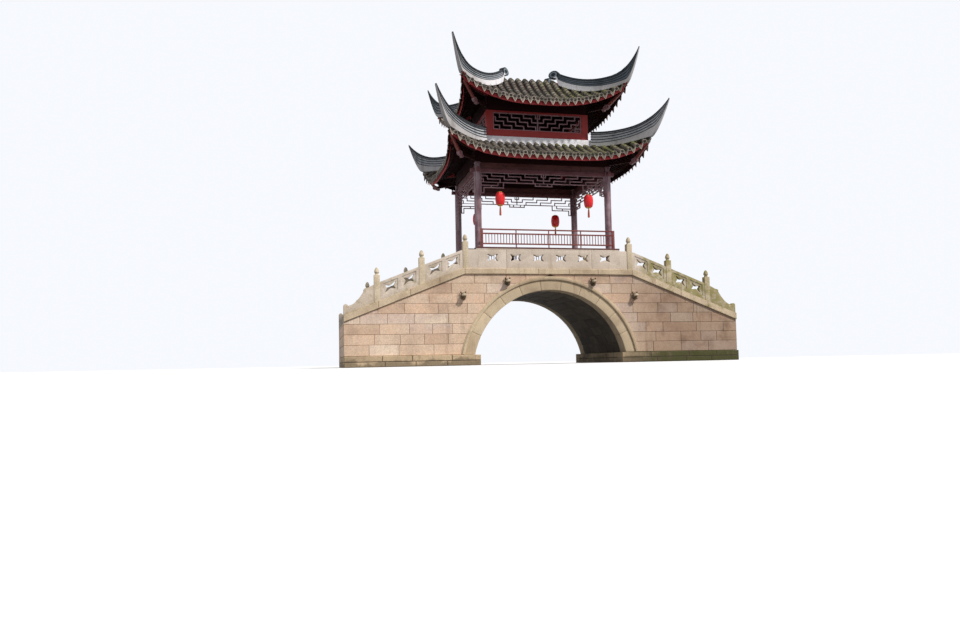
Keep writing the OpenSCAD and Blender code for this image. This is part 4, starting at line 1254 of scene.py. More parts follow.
@dataclass
class SpoutHeads:
    """Beasts' heads that jut from the spandrels: skull, brow, upturned nose, open jaw and ears."""

    form: BridgeForm
    crown_x: float = 1.3615
    crown_down: float = 0.250
    ramp_x: float = 2.723
    ramp_down: float = 0.640
    out: float = 0.215
    broad: float = 1.55
    tall: float = 1.25
    # Small steps keep every head's tint low, in the palette's dark end, as painted shade.
    shaded_tint_step: float = 0.04

    def build(self) -> None:
        """Builds the eight heads in one piece."""
        form = self.form
        piece = Piece("spout_heads_carved", (Look.HEAD,))
        places = ((self.crown_x, form.deck_z - self.crown_down),
                  (self.ramp_x, form.under(self.ramp_x) - self.ramp_down))
        number = 0
        for face, side in CORNERS:
            for x, z in places:
                number += 1
                self.head(piece, side * x, z, face, self.shaded_tint_step * number)
        made = piece.make("carved_stone", ("spout_heads",), smooth=60)
        rounding = made.modifiers.new("rounding", "SUBSURF")
        rounding.levels = rounding.render_levels = 2

    def head(self, piece: Piece, x: float, z: float, face: int, tint: float) -> None:
        """Adds one head.

        Args:
            piece: The piece that takes it.
            x: Its place along the bridge.
            z: Its height.
            face: -1 on the front, 1 on the back.
            tint: Its tint; a low one, which paints the head dark as painted shade.
        """
        def lump(*sections: tuple[float, float, float, float], shift: float = 0.0,
                 tone: float = tint) -> None:
            """Adds a lump.

            Args:
                *sections: How far out from the wall each section is, its half-width, bottom and top.
                shift: How far it sits to the side of the head's middle.
                tone: Its tint.
            """
            rings = []
            for away, half, low, high in sections:
                y = face * (self.form.face_y + away)
                left, right = x + (shift - half) * self.broad, x + (shift + half) * self.broad
                bottom, top = z + low * self.tall, z + high * self.tall
                rings.append([(across, y, up) for across, up in oblong(left, bottom, right, top)])
            piece.loft(rings, tone)

        out = self.out
        # Skull, muzzle and jaw; the muzzle's pale tint is a painted highlight, and the low tints of the rest
        # are painted shade
        lump((-0.01, 0.062, -0.105, 0.095), (out * 0.25, 0.064, -0.085, 0.10),
             (out * 0.48, 0.052, -0.015, 0.088), (out * 0.52, 0.050, -0.01, 0.080))
        lump((out * 0.45, 0.052, -0.016, 0.072), (out * 0.72, 0.046, -0.004, 0.054),
             (out * 0.94, 0.042, 0.004, 0.060), (out, 0.032, 0.016, 0.066), tone=0.95)
        lump((out * 0.2, 0.044, -0.095, -0.050), (out * 0.55, 0.036, -0.082, -0.050),
             (out * 0.86, 0.026, -0.060, -0.034))
        # An ear and a brow on each side
        for ear in (-0.046, 0.046):
            lump((out * 0.10, 0.016, 0.05, 0.120), (out * 0.30, 0.012, 0.07, 0.128),
                 (out * 0.42, 0.006, 0.08, 0.105), shift=ear)
            lump((out * 0.46, 0.013, 0.055, 0.086), (out * 0.56, 0.012, 0.058, 0.084), shift=ear * 0.62)


class Side(Enum):
    """The four slopes of a roof: the axis that runs along its eaves, and which way it faces."""

    FRONT = (0, -1)
    BACK = (0, 1)
    RIGHT = (1, 1)
    LEFT = (1, -1)

    @property
    def along(self) -> int:
        """Axis along the eaves, 0 for X and 1 for Y."""
        return self.value[0]

    @property
    def facing(self) -> int:
        """The sign of the way it faces."""
        return self.value[1]

    def turn(self, across: float, out: float, z: float) -> Vector:
        """Puts a distance along the eaves and a distance out into the model."""
        return Vector((across, self.facing * out, z) if self.along == 0 else (self.facing * out, across, z))


@dataclass
class Timber:
    """Columns, beams, rails, frets and the upper storey's frame, each a worn and painted node."""

    column_x: float = 2.119
    head_ease: float = 0.012
    frieze_half: float = 0.020
    frieze_gap: float = 0.002
    frieze_edge: float = 0.004
    post_half: float = 0.070

    def build(self) -> None:
        """Dresses every timber node, with the bases, plaster and hooks that belong to them."""
        valances = ("valance_front", "valance_back", "valance_left", "valance_right")
        dressed = (
            (("column_bases",), Look.PAVING, "step_stone", 0.006),
            (("columns",), Look.COLUMN, "column_paint", 0.0),
            (("lintels",), Look.BEAM, "beam_paint", 0.006),
            (("eaves_beams", "tie_beams", "upper_beams"), Look.SHADED_DARK_BEAM, "beam_paint", 0.006),
            (("seat_boards",), Look.SEAT, "beam_paint", 0.004),
            (("railing_front", "railing_back"), Look.RAIL, "beam_paint", 0.003),
            (valances, Look.FRET, "lattice_paint", 0.0015),
            (("upper_frame",), Look.RED, "red_paint", 0.005),
            (("upper_lattices",), Look.FRET, "lattice_paint", 0.0015),
            (("plaster_band",), Look.PLASTER, "plaster", 0.004),
            (("lantern_hooks",), Look.IRON, "iron", 0.0))
        for nodes, look, slot, edge in dressed:
            for node in nodes:
                WornNode(node, look, slot, edge, "worn").build()
        for node, edge in (("eaves_boards", 0.002), ("corner_beams", 0.006)):
            # The inner and lower faces of the boards and corner beams take the dark finish as painted shade.
            WornNode(node, Look.FASCIA, "red_paint", edge, "worn", inner=Look.SHADED_DARK_BEAM).build()
        self.heads()
        self.frieze()

    def column_places(self) -> tuple[float, float, float, float]:
        """Finds the columns, and the stretch in which their heads stand.

        Returns:
            Their distances from the middle along and across the bridge, and the heads' bottom and top.
        """
        low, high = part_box("column_heads")
        reach = (high - low) / 2
        width = reach.x - self.column_x
        return self.column_x, reach.y - width, low.z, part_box("eaves_beams")[0].z

    def heads(self) -> None:
        """Builds the four column heads: a block with eased corners between two thin mouldings."""
        x, y, low, high = self.column_places()
        piece = Piece("column_head_blocks", (Look.COLUMN,))
        profile = ((0.082, 0.0), (0.086, 0.02), (0.086, 0.12), (0.070, 0.16), (0.070, 0.78), (0.088, 0.84),
                   (0.088, 0.98), (0.084, 1.0))
        for sx, sy in CORNERS:
            rings = []
            for half, share in profile:
                ease = half - self.head_ease
                corners = ((-half, -ease), (-ease, -half), (ease, -half), (half, -ease),
                           (half, ease), (ease, half), (-ease, half), (-half, ease))
                rings.append([(sx * x + a, sy * y + b, low + (high - low) * share) for a, b in corners])
            piece.loft(rings)
        piece.make("beam_paint", ("column_heads",), smooth=30)

    def frieze(self) -> None:
        """Builds the boards that close the gap between the lintels and the eaves beams, in panels."""
        x, y, low, high = self.column_places()
        gap, half = self.frieze_gap, self.frieze_half
        piece = Piece("frieze_boards", (Look.SEAT,))
        for side in (Side.FRONT, Side.BACK, Side.LEFT, Side.RIGHT):
            reach, plane, panels = (x, y, 5) if side.along == 0 else (y, x, 4)
            ends = np.linspace(self.post_half - reach, reach - self.post_half, panels + 1)
            for a, b in zip(ends, ends[1:]):
                piece.block(inset(oblong(a, low + gap, b, high - gap), gap),
                            lambda s, z, d, facing=side, out=plane: tuple(facing.turn(s, out + half - d, z)),
                            half * 2, self.frieze_edge, 0.5, both=True)
        piece.make("beam_paint", smooth=30)


@dataclass(frozen=True)
class RoofForm:
    """A hipped surface with a hollow slope and lifted corners, and a rolled ridge if it has one."""

    name: str
    mid: Flat
    corner: Flat
    top: Flat
    eave_z: float
    rise: float
    straight: float
    lift: float
    power: float
    fade: float
    roll_rise: float = 0.0
    thick: float = 0.120
    hip_gap: float = 0.050
    around: int = 20

    def level(self, v: float) -> float:
        """Returns the height of a level line, at a share of the slope."""
        return self.eave_z + self.rise * (self.straight * v + (1 - self.straight) * v * v)

    def upturn(self, u: float, v: float) -> float:
        """Returns how far the surface is lifted towards a corner."""
        return self.lift * abs(u) ** self.power * (1 - v) ** self.fade

    def hip(self, v: float) -> float:
        """Returns the height of the hips, at a share of the slope."""
        return self.level(v) + self.upturn(1, v)

    def at_corner(self, sx: int, sy: int) -> Place:
        """Works out how points are placed near a corner's hip.

        Args:
            sx: The corner's side along the bridge, -1 or 1.
            sy: -1 for the front, 1 for the back.

        Returns:
            Puts a distance out from the corner, a distance aside of the hip and a height into the model.
        """
        def spot(out: float, side: float, z: float) -> Point:
            """Places one point."""
            aside = side * math.sqrt(0.5)
            return (sx * (self.corner[0] + out + aside), sy * (self.corner[1] + out - aside), z)

        return spot

    def point(self, side: Side, across: float, v: float, down: float = 0.0) -> Vector:
        """Finds a point of a slope.

        Args:
            side: The slope.
            across: Distance from its middle, along the eaves.
            v: Share of the slope, 0 at the eaves and 1 at the top edge.
            down: How far under the surface the point lies.

        Returns:
            The point.
        """
        wide = 1 - side.along
        u = max(-1.0, min(1.0, across / mix(self.corner[side.along], self.top[side.along], v)))
        middle = mix(self.mid[wide], self.top[wide], v)
        out = mix(middle, mix(self.corner[wide], self.top[wide], v), abs(u) ** 3)
        return side.turn(across, out, self.level(v) + self.upturn(u, v) - down)

    def hip_share(self, side: Side, across: float) -> float:
        """Returns the share of the slope where a row of tiles ends, under a hip or at the top edge."""
        corner, top = self.corner[side.along], self.top[side.along]
        return max(0.0, min(1.0, (corner - abs(across) - self.hip_gap) / (corner - top)))

    def ring(self, v: float, down: float) -> list[Point]:
        """Draws a ring round the roof.

        Args:
            v: Share of the slope at which it lies.
            down: How far under the surface it lies.

        Returns:
            The ring's points.
        """
        points: list[Point] = []
        for side, flow in ((Side.FRONT, 1), (Side.RIGHT, 1), (Side.BACK, -1), (Side.LEFT, -1)):
            half = mix(self.corner[side.along], self.top[side.along], v)
            for step in self.steps():
                points.append(tuple(self.point(side, flow * half * step, v, down)))
        return points

    def roll_ring(self, s: float, down: float) -> list[Point]:
        """Draws a ring round the rolled ridge.

        Args:
            s: Where it lies, from 1 at the ridge's foot to 0 on its back.
            down: How far under the surface it lies.

        Returns:
            The ring's points.
        """
        x, y, z = self.top[0], self.top[1] * s, self.rolled(s) - down
        steps = self.steps()
        return [*((t * x, -y, z) for t in steps), *((x, t * y, z) for t in steps),
                *((-t * x, y, z) for t in steps), *((-x, -t * y, z) for t in steps)]

    def steps(self) -> list[float]:
        """Returns the places of a ring's points along one side, from -1 towards 1."""
        return [2 * i / self.around - 1 for i in range(self.around)]

    def rolled(self, s: float) -> float:
        """Returns the height of the rolled ridge, s going from 1 at its foot to 0 on its back."""
        return self.eave_z + self.rise + self.roll_rise * (1 - s * s)


LOWER = RoofForm("lower", mid=(3.019, 2.469), corner=(3.190, 2.640), top=(1.770, 1.220), eave_z=6.370,
                 rise=0.670, straight=0.60, lift=0.640, power=4.3, fade=1.1)
UPPER = RoofForm("upper", mid=(2.503, 1.953), corner=(2.666, 2.116), top=(1.000, 0.450), eave_z=8.220,
                 rise=1.060, straight=0.50, lift=0.640, power=2.8, fade=1.6, roll_rise=0.238)


@dataclass
class Track:
    """A row of tiles' line up a slope, with its length, direction and the slope's tilt."""

    form: RoofForm
    side: Side
    across: float
    steps: int = 40
    roll_steps: int = 8
    near: float = 0.03

    def __post_init__(self) -> None:
        """Walks up the slope, and over the rolled ridge where the row reaches it."""
        end = self.form.hip_share(self.side, self.across)
        shares = [end * k / self.steps for k in range(self.steps + 1)]
        self.points = [self.form.point(self.side, self.across, v) for v in shares]
        aside = self.near if self.across < 0 else -self.near
        self.sides = [(self.form.point(self.side, self.across + aside, v) - p) / aside
                      for v, p in zip(shares, self.points)]
        if end == 1.0 and self.form.roll_rise and self.side.along == 0:
            for k in range(1, self.roll_steps + 1):
                s = 1 - k / self.roll_steps
                self.points.append(self.side.turn(self.across, self.form.top[1] * s, self.form.rolled(s)))
                self.sides.append(Vector((1.0, 0.0, 0.0)))
        self.lengths = [0.0]
        for a, b in zip(self.points, self.points[1:]):
            self.lengths.append(self.lengths[-1] + (b - a).length)

    @property
    def length(self) -> float:
        """Length of the row."""
        return self.lengths[-1]

    def at(self, length: float) -> tuple[Vector, Vector, Vector, Vector]:
        """Finds the place at a length up the row.

        Args:
            length: Length from the eaves; below 0 it runs straight on outwards.

        Returns:
            The place, the way up the slope, the way across it and the way out of it.
        """
        k = min(len(self.points) - 2, max(0, int(np.searchsorted(self.lengths, length)) - 1))
        share = (length - self.lengths[k]) / max(1e-6, self.lengths[k + 1] - self.lengths[k])
        up = (self.points[k + 1] - self.points[k]).normalized()
        place = self.points[k] + (self.points[k + 1] - self.points[k]) * share
        across = self.sides[k]
        out = across.cross(up).normalized()
        out = out if out.z > 0 else -out
        across = up.cross(out).normalized()
        return place, up, across, out


@dataclass
class RoofTiles:
    """The covering of one roof: boards, rafters, hollow tiles, round tiles and their ends."""

    form: RoofForm
    node: str
    pitch: float
    cover_r: float = 0.082
    cover_l: float = 0.200
    pan_w: float = 0.190
    pan_l: float = 0.120
    bed: float = 0.066
    deck: float = 0.112
    drip_h: float = 0.190
    rafter_start: float = 0.20
    rafter_end: float = 1.30
    rafter_half: float = 0.025
    seed: int = 1

    def build(self) -> None:
        """Builds the deck, the tiles and the ends along the eaves."""
        self.boards()
        self.covers()
        self.pans()
        self.eaves()
        self.rafters()

    def rows(self, side: Side, shift: float) -> list[Track]:
        """Returns the rows of one slope.

        Args:
            side: The slope.
            shift: 0.5 for rows of round tiles, 0 for the hollow ones between them.

        Returns:
            The rows that are long enough to hold a tile.
        """
        reach = self.form.corner[side.along] - self.form.hip_gap
        count = int(reach / self.pitch) + 1
        places = [(k + shift) * self.pitch for k in range(-count - 1, count + 1)]
        return [Track(self.form, side, x) for x in places if abs(x) < reach]

    def boards(self) -> None:
        """Builds the boarded deck that the tiles lie on, with its underside."""
        form = self.form
        shares = [0.0, 0.04, *(k / 10 for k in range(1, 11))]
        rings = [form.ring(v, form.thick) for v in reversed(shares)]
        rings += [form.ring(v, self.deck) for v in shares]
        piece = Piece(f"{form.name}_roof_deck", (Look.SHADED_DARK_BEAM,))
        if form.roll_rise:
            backs = (0.8, 0.6, 0.4, 0.2, 0.04)
            rings = ([form.roll_ring(s, form.thick) for s in reversed(backs)] + rings
                     + [form.roll_ring(s, self.deck) for s in backs])
        piece.loft(rings, joined=not form.roll_rise)
        piece.make("roof_tile", (self.node,), smooth=50)

    def covers(self) -> None:
        """Builds the rows of half-round tiles, each lapping the one below."""
        dice = random.Random(self.seed)
        piece = Piece(f"{self.form.name}_roof_round_tiles", (Look.COVER,))
        arc = [(math.cos(a), math.sin(a)) for a in np.linspace(0, math.pi, 9)]
        for side in Side:
            for track in self.rows(side, 0.5):
                count = max(1, round(track.length / self.cover_l))
                step = track.length / count
                for k in range(count):
                    rings = []
                    wobble = dice.uniform(-0.004, 0.004)
                    low, high = k * step, (k + 1) * step
                    for s, grow in ((low - 0.014, 1.04), (low + 0.014, 1.04), (low + 0.024, 0.94),
                                    (high + 0.02, 0.84)):
                        place, _, across, out = track.at(s)
                        r = self.cover_r * grow
                        base = place - out * (self.bed + (1 - grow) * 0.03) + across * wobble
                        rings.append([tuple(base + across * (c * r) + out * (h * r)) for c, h in arc])
                    piece.loft(rings, dice.random())
        piece.make("roof_tile", smooth=45)

    def pans(self) -> None:
        """Builds the rows of hollow tiles that carry the rain, lapped closely."""
        dice = random.Random(self.seed + 1)
        piece = Piece(f"{self.form.name}_roof_hollow_tiles", (Look.PAN,))
        half, dip, thick = self.pan_w / 2, 0.030, 0.010
        line = [(half * t, -dip * (1 - t * t)) for t in np.linspace(-1, 1, 7)]
        outline = line + [(x, h - thick) for x, h in reversed(line)]
        for side in Side:
            for track in self.rows(side, 0.0):
                count = max(1, round(track.length / self.pan_l))
                step = track.length / count
                for k in range(count):
                    rings = []
                    for s, raise_by in ((k * step - 0.010, 0.012), ((k + 1) * step + 0.03, -0.004)):
                        place, _, across, out = track.at(s)
                        base = place + out * (raise_by - self.bed + 0.006)
                        rings.append([tuple(base + across * x + out * h) for x, h in outline])
                    piece.loft(rings, dice.random())
        piece.make("roof_tile")

    def eaves(self) -> None:
        """Builds the ends of the cover rows, the drips between them and the red blocks behind."""
        dice = random.Random(self.seed + 2)
        piece = Piece(f"{self.form.name}_eaves_tile_ends", (Look.COVER, Look.DRIP, Look.PAN, Look.FASCIA))
        for side in Side:
            ahead = side.turn(0.0, 1.0, 0.0)
            for track in self.rows(side, 0.5):
                self.round_end(piece, track, ahead, dice.random() * 0.6)
            for track in self.rows(side, 0.0):
                self.drip(piece, track, ahead, dice.random())
        piece.make("roof_tile", smooth=35)

    def round_end(self, piece: Piece, track: Track, ahead: Vector, tint: float) -> None:
        """Adds the ringed disc that closes a cover row, and the red block that holds the row up.

        Args:
            piece: The piece that takes it.
            track: The row.
            ahead: The way out from the eaves.
            tint: The disc's tint.
        """
        place, _, across, out = track.at(-0.014)
        centre = place - out * 0.030
        up = across.cross(ahead).normalized()
        up = up if up.z > 0 else -up
        face = (ahead - up * 0.22).normalized()
        rim = ((-0.004, 0.064), (0.012, 0.064), (0.016, 0.060), (0.016, 0.050))
        shaded_boss = ((0.008, 0.052), (0.0165, 0.052), (0.0165, 0.022), (0.021, 0.014))
        # The boss in each disc takes the dark hollow-tile finish, as painted shade between the tongues.
        for sections, kind in ((rim, 1), (shaded_boss, 2)):
            piece.loft([[tuple(centre + face * away + (across * c + up * s) * r) for c, s in circle(16)]
                        for away, r in sections], tint, kind)
        rings = []
        for down, half in ((0.040, 0.030), (self.form.thick + 0.004, 0.5 * self.pitch - 0.002)):
            low = place - out * down - ahead * 0.026
            left, right = low - across * half, low + across * half
            back = ahead * 0.020
            rings.append([tuple(spot) for spot in (left, right, right - back, left - back)])
        piece.loft(rings, 0.5, 3)

    def drip(self, piece: Piece, track: Track, ahead: Vector, tint: float) -> None:
        """Adds the pointed tongue that closes a row of hollow tiles, with its raised field.

        Args:
            piece: The piece that takes it.
            track: The row.
            ahead: The way out from the eaves.
            tint: The tongue's tint.
        """
        place, _, across, out = track.at(-0.012)
        base = place - out * 0.034
        down = (Vector((0, 0, -1)) + ahead * 0.18).normalized()
        face = across.cross(down).normalized()
        face = face if face.dot(ahead) > 0 else -face
        half = 0.33 * self.pitch
        edge = [(half * w, self.drip_h * h)
                for w, h in ((0.94, 0.0), (1.0, 0.14), (0.84, 0.38), (0.56, 0.62), (0.27, 0.84))]
        hollow = [(half * w, self.drip_h * h) for w, h in ((0.62, 0.08), (0.0, 0.16), (-0.62, 0.08))]
        tongue = [(-x, z) for x, z in edge] + [(0.0, self.drip_h)] + edge[::-1] + hollow
        raised = [(x, -z) for x, z in inset([(x, -z) for x, z in tongue], 0.020)]
        for outline, depths, kind in ((tongue, (0.0, 0.010), 1), (raised, (0.009, 0.0135), 0)):
            piece.loft([[tuple(base + across * x + down * z + face * d) for x, z in outline] for d in depths],
                       tint, kind)

    def rafters(self) -> None:
        """Builds the rafters under the deck, between the eaves board and the beams."""
        dice = random.Random(self.seed + 3)
        piece = Piece(f"{self.form.name}_roof_rafters", (Look.SHADED_DARK_BEAM,))
        for side in Side:
            for track in self.rows(side, 0.0) + self.rows(side, 0.5):
                length = min(track.length - 0.10, self.rafter_end)
                if length - self.rafter_start < 0.15:
                    continue
                rings = []
                for share in (0.0, 0.25, 0.5, 0.75, 1.0):
                    place, _, across, out = track.at(mix(self.rafter_start, length, share))
                    top = place - out * (self.form.thick - 0.010)
                    low = place - out * (self.form.thick + 0.030)
                    half = across * self.rafter_half
                    rings.append([tuple(spot) for spot in (low - half, low + half, top + half, top - half)])
                piece.loft(rings, dice.random())
        piece.make("beam_paint")


@dataclass
class Ridges:
    """The hip ridges of one roof: courses of tile and plaster that sweep up into a horn."""

    form: RoofForm
    node: str
    sag: float
    rise_in: float
    horn: float
    height: float
    reach: float
    head: float = 0.0
    # Tints of the plaster courses on the left and the right ridges; where they differ, the right is darker as
    # painted shade.
    side_light_tones: Flat = (0.75, 0.3)
    beds: Flat = (0.12, 0.34)
    sink: float = 0.060
    curl: float = 2.7
    scroll_r: float = 0.130
    body_half: float = 0.075
    cap_half: float = 0.062
    cap_from: float = 0.87

    def build(self) -> None:
        """Builds the four ridges in one piece."""
        piece = Piece(f"{self.form.name}_hip_ridges", (Look.RIDGE, Look.RIDGE_TILE, Look.PLASTER))
        for sx, sy in CORNERS:
            # The left ridges take the first tone and the right ones the second, as painted light and shade.
            self.ridge(piece, self.form.at_corner(sx, sy), self.side_light_tones[0 if sx < 0 else 1])
        piece.make("ridge_tile", (self.node,), smooth=40)

    @property
    def span(self) -> float:
        """How far the hip runs in from the corner."""
        return self.form.corner[0] - self.form.top[0]

    def crown(self, d: float) -> float:
        """Works out the height of the ridge's top.

        Args:
            d: Distance outwards from the roof's corner.

        Returns:
            The height.
        """
        start = -self.sag * self.span
        sag_z = self.form.hip(self.sag) + self.height
        if d > start:
            return sag_z + self.horn * ((d - start) / (self.reach - start)) ** self.curl
        return sag_z + self.rise_in * ((start - d) / (self.span + start)) ** 2

    def foot(self, d: float) -> float:
        """Works out the height of the ridge's foot: on the roof, then along the horn's underside.

        Args:
            d: Distance outwards from the roof's corner.

        Returns:
            The height.
        """
        if d < -self.span:
            return self.form.level(1) + self.form.roll_rise + 0.020 + 0.030 * (-self.span - d) / self.head
        if d <= 0:
            return self.form.hip(-d / self.span)
        return mix(self.form.hip(0), self.crown(self.reach) - 0.050, (d / self.reach) ** 1.5)

    def bed(self, d: float) -> float:
        """Works out the height of the plaster base, which dies away along the horn.

        Args:
            d: Distance outwards from the roof's corner.

        Returns:
            The height of its top.
        """
        low, high = self.beds
        inner = mix(low, high, max(0.0, 1 + d / self.span) ** 2)
        return mix(self.foot(d), self.crown(d), mix(high, 0.04, d / self.reach) if d > 0 else inner)

    def slim(self, d: float) -> float:
        """Returns the share of its width that the ridge keeps, less towards the horn's tip."""
        return mix(1.0, 0.4, max(0.0, d / self.reach))

    def ridge(self, piece: Piece, spot: Place, tone: float) -> None:
        """Adds one ridge as courses from its footing to its tile cap.

        Args:
            piece: The piece that takes it.
            spot: Places a point at a distance outwards and aside of the hip.
            tone: Tint of its plaster courses; on the upper roof it is paler on the left ridges as painted
                light and darker on the right as painted shade.
        """
        inner = -self.span - self.head
        places = [inner, -self.span - self.head / 2] if self.head else []
        places += [*np.linspace(-self.span, 0.0, 15), *np.linspace(0.0, self.reach, 10)[1:]]
        # Bottom and top as shares of the height over the bed, width and finish of each course
        courses = ((0.00, 0.06, 0.160, 1), (0.06, 0.24, 0.122, 0), (0.24, 0.30, 0.150, 1),
                   (0.30, 0.47, 0.114, 0), (0.47, 0.53, 0.146, 1), (0.53, 0.69, 0.108, 0),
                   (0.69, 0.75, 0.150, 1), (0.75, 0.81, 0.118, 0), (0.81, 0.87, 0.148, 1))
        rings = []
        for d in places:
            sink = self.sink if d <= 0 else self.sink * (1 - d / self.reach) ** 2
            half, low = self.body_half * self.slim(d), self.foot(d) - sink
            rings.append([spot(d, side, z) for side, z in oblong(-half, low, half, self.bed(d))])
        piece.loft(rings, 0.8, 2)
        for low, high, width, kind in courses:
            rings = []
            for d in places:
                half = width / 2 * self.slim(d)
                bottom, top = (mix(self.bed(d), self.crown(d), share) for share in (low, high))
                rings.append([spot(d, side, z) for side, z in oblong(-half, bottom, half, top)])
            piece.loft(rings, tone if kind == 0 else 0.5, kind)
        rings = []
        for d in places:
            top, half = self.crown(d), self.cap_half * self.slim(d)
            low = mix(self.bed(d), top, self.cap_from)
            rings.append([spot(d, half * math.cos(a), low + (top - low) * math.sin(a))
                          for a in np.linspace(math.pi, 0, 9)])
        piece.loft(rings, 0.4, 1)
        if self.head:
            self.scroll(piece, spot, inner)

    def scroll(self, piece: Piece, spot: Place, d: float) -> None:
        """Adds the round scroll that ends a ridge at its upper end.

        Args:
            piece: The piece that takes it.
            spot: Places a point at a distance outwards and aside of the hip.
            d: Where the ridge ends.
        """
        centre = self.crown(d) - self.scroll_r
        for half, share, kind in ((0.074, 1.0, 1), (0.080, 0.74, 0), (0.086, 0.42, 1)):
            radius = self.scroll_r * share
            piece.loft([[spot(d + radius * c, side, centre + radius * s) for c, s in circle(24)]
                        for side in (-half, half)], 0.3, kind)


@dataclass
class HornBeams:
    """The lifted corners' timbers: a level beam with a carved end, and a strut up to the horn."""

    form: RoofForm
    end: Flat
    root: float
    top: Flat
    half: float = 0.038
    curl_r: float = 0.072

    def build(self) -> None:
        """Builds the timbers of the four corners in one piece."""
        piece = Piece(f"{self.form.name}_horn_beams", (Look.RAIL, Look.FRET, Look.SHADED_DARK_BEAM))
        for sx, sy in CORNERS:
            self.corner(piece, self.form.at_corner(sx, sy))
        piece.make("red_paint", smooth=30)

    def corner(self, piece: Piece, spot: Place) -> None:
        """Adds the timbers of one corner.

        Args:
            piece: The piece that takes them.
            spot: Places a point at a distance outwards and aside of the hip.
        """
        half, (t0, z0), (t1, z1) = self.half, self.end, self.top
        piece.loft([[spot(-t, side, z) for side, z in oblong(-half, z0 - half, half, z0 + half)]
                    for t in (self.root, t0)], 0.4, 2)
        lean = Vector((t1 - t0, z1 - z0)).normalized() * half
        rings = []
        for share, slim in ((0.0, 1.0), (0.5, 0.86), (1.0, 0.7)):
            t, z = mix(t0, t1, share), mix(z0, z1, share)
            rings.append([spot(-(t + lean.y * up), side * half * slim, z - lean.x * up)
                          for up, side in ((-slim, -1), (-slim, 1), (slim, 1), (slim, -1))])
        piece.loft(rings, 0.6, 0)
        for t, z, r in ((t0, z0, self.curl_r), (t0 + self.curl_r, z0 - self.curl_r, self.curl_r * 0.6)):
            for out, share, kind in ((0.006, 1.0, 1), (0.012, 0.62, 0), (0.018, 0.36, 1)):
                radius = r * share
                piece.loft([[spot(-(t + radius * c), side * (half + out), z + radius * s)
                             for c, s in circle(20)] for side in (-1, 1)], 0.5, kind)


@dataclass
class Gables:
    """The small plastered ends of the upper roof's rolled ridge, with their bargeboards."""

    form: RoofForm

    def build(self) -> None:
        """Builds both gable ends in one piece."""
        form = self.form
        piece = Piece("upper_gable_ends", (Look.RIDGE, Look.FASCIA))
        foot, half = form.rolled(1) - 0.16, form.top[1]
        arc = [(half * s, form.rolled(s)) for s in np.linspace(1, -1, 17)]
        wall = [(y, z - 0.075) for y, z in arc] + [(-half, foot), (half, foot)]
        board = [(y, z - 0.05) for y, z in arc] + [(y * 0.96, z - 0.135) for y, z in reversed(arc)]
        sheets = ((wall, -0.05, -0.004, 0.4, 0), (board, -0.02, 0.012, 0.5, 1))
        for side in (-1, 1):
            for outline, back, front, tint, kind in sheets:
                piece.loft([[(side * (form.top[0] + out), y, z) for y, z in outline]
                            for out in (back, front)], tint, kind)
        piece.make("ridge_tile", smooth=30)


@dataclass
class Fillet:
    """The lime fillet that closes the lower roof's tiles against the plaster band."""

    form: RoofForm
    drop: float = 0.110
    thick: float = 0.050
    proud: float = 0.003

    def build(self) -> None:
        """Builds the fillet in one ring, mitred at the corners."""
        piece = Piece("lime_fillet", (Look.PLASTER,))
        x, y = self.form.top
        top = self.form.level(1)
        low = top - self.drop
        profile = ((-self.proud, low), (-self.proud, top), (self.thick, top), (self.thick, low))
        piece.loft([[(sx * (x - inward), sy * (y - inward), z) for inward, z in profile]
                    for sx, sy in ((-1, -1), (1, -1), (1, 1), (-1, 1))], joined=True)
        piece.make("plaster")


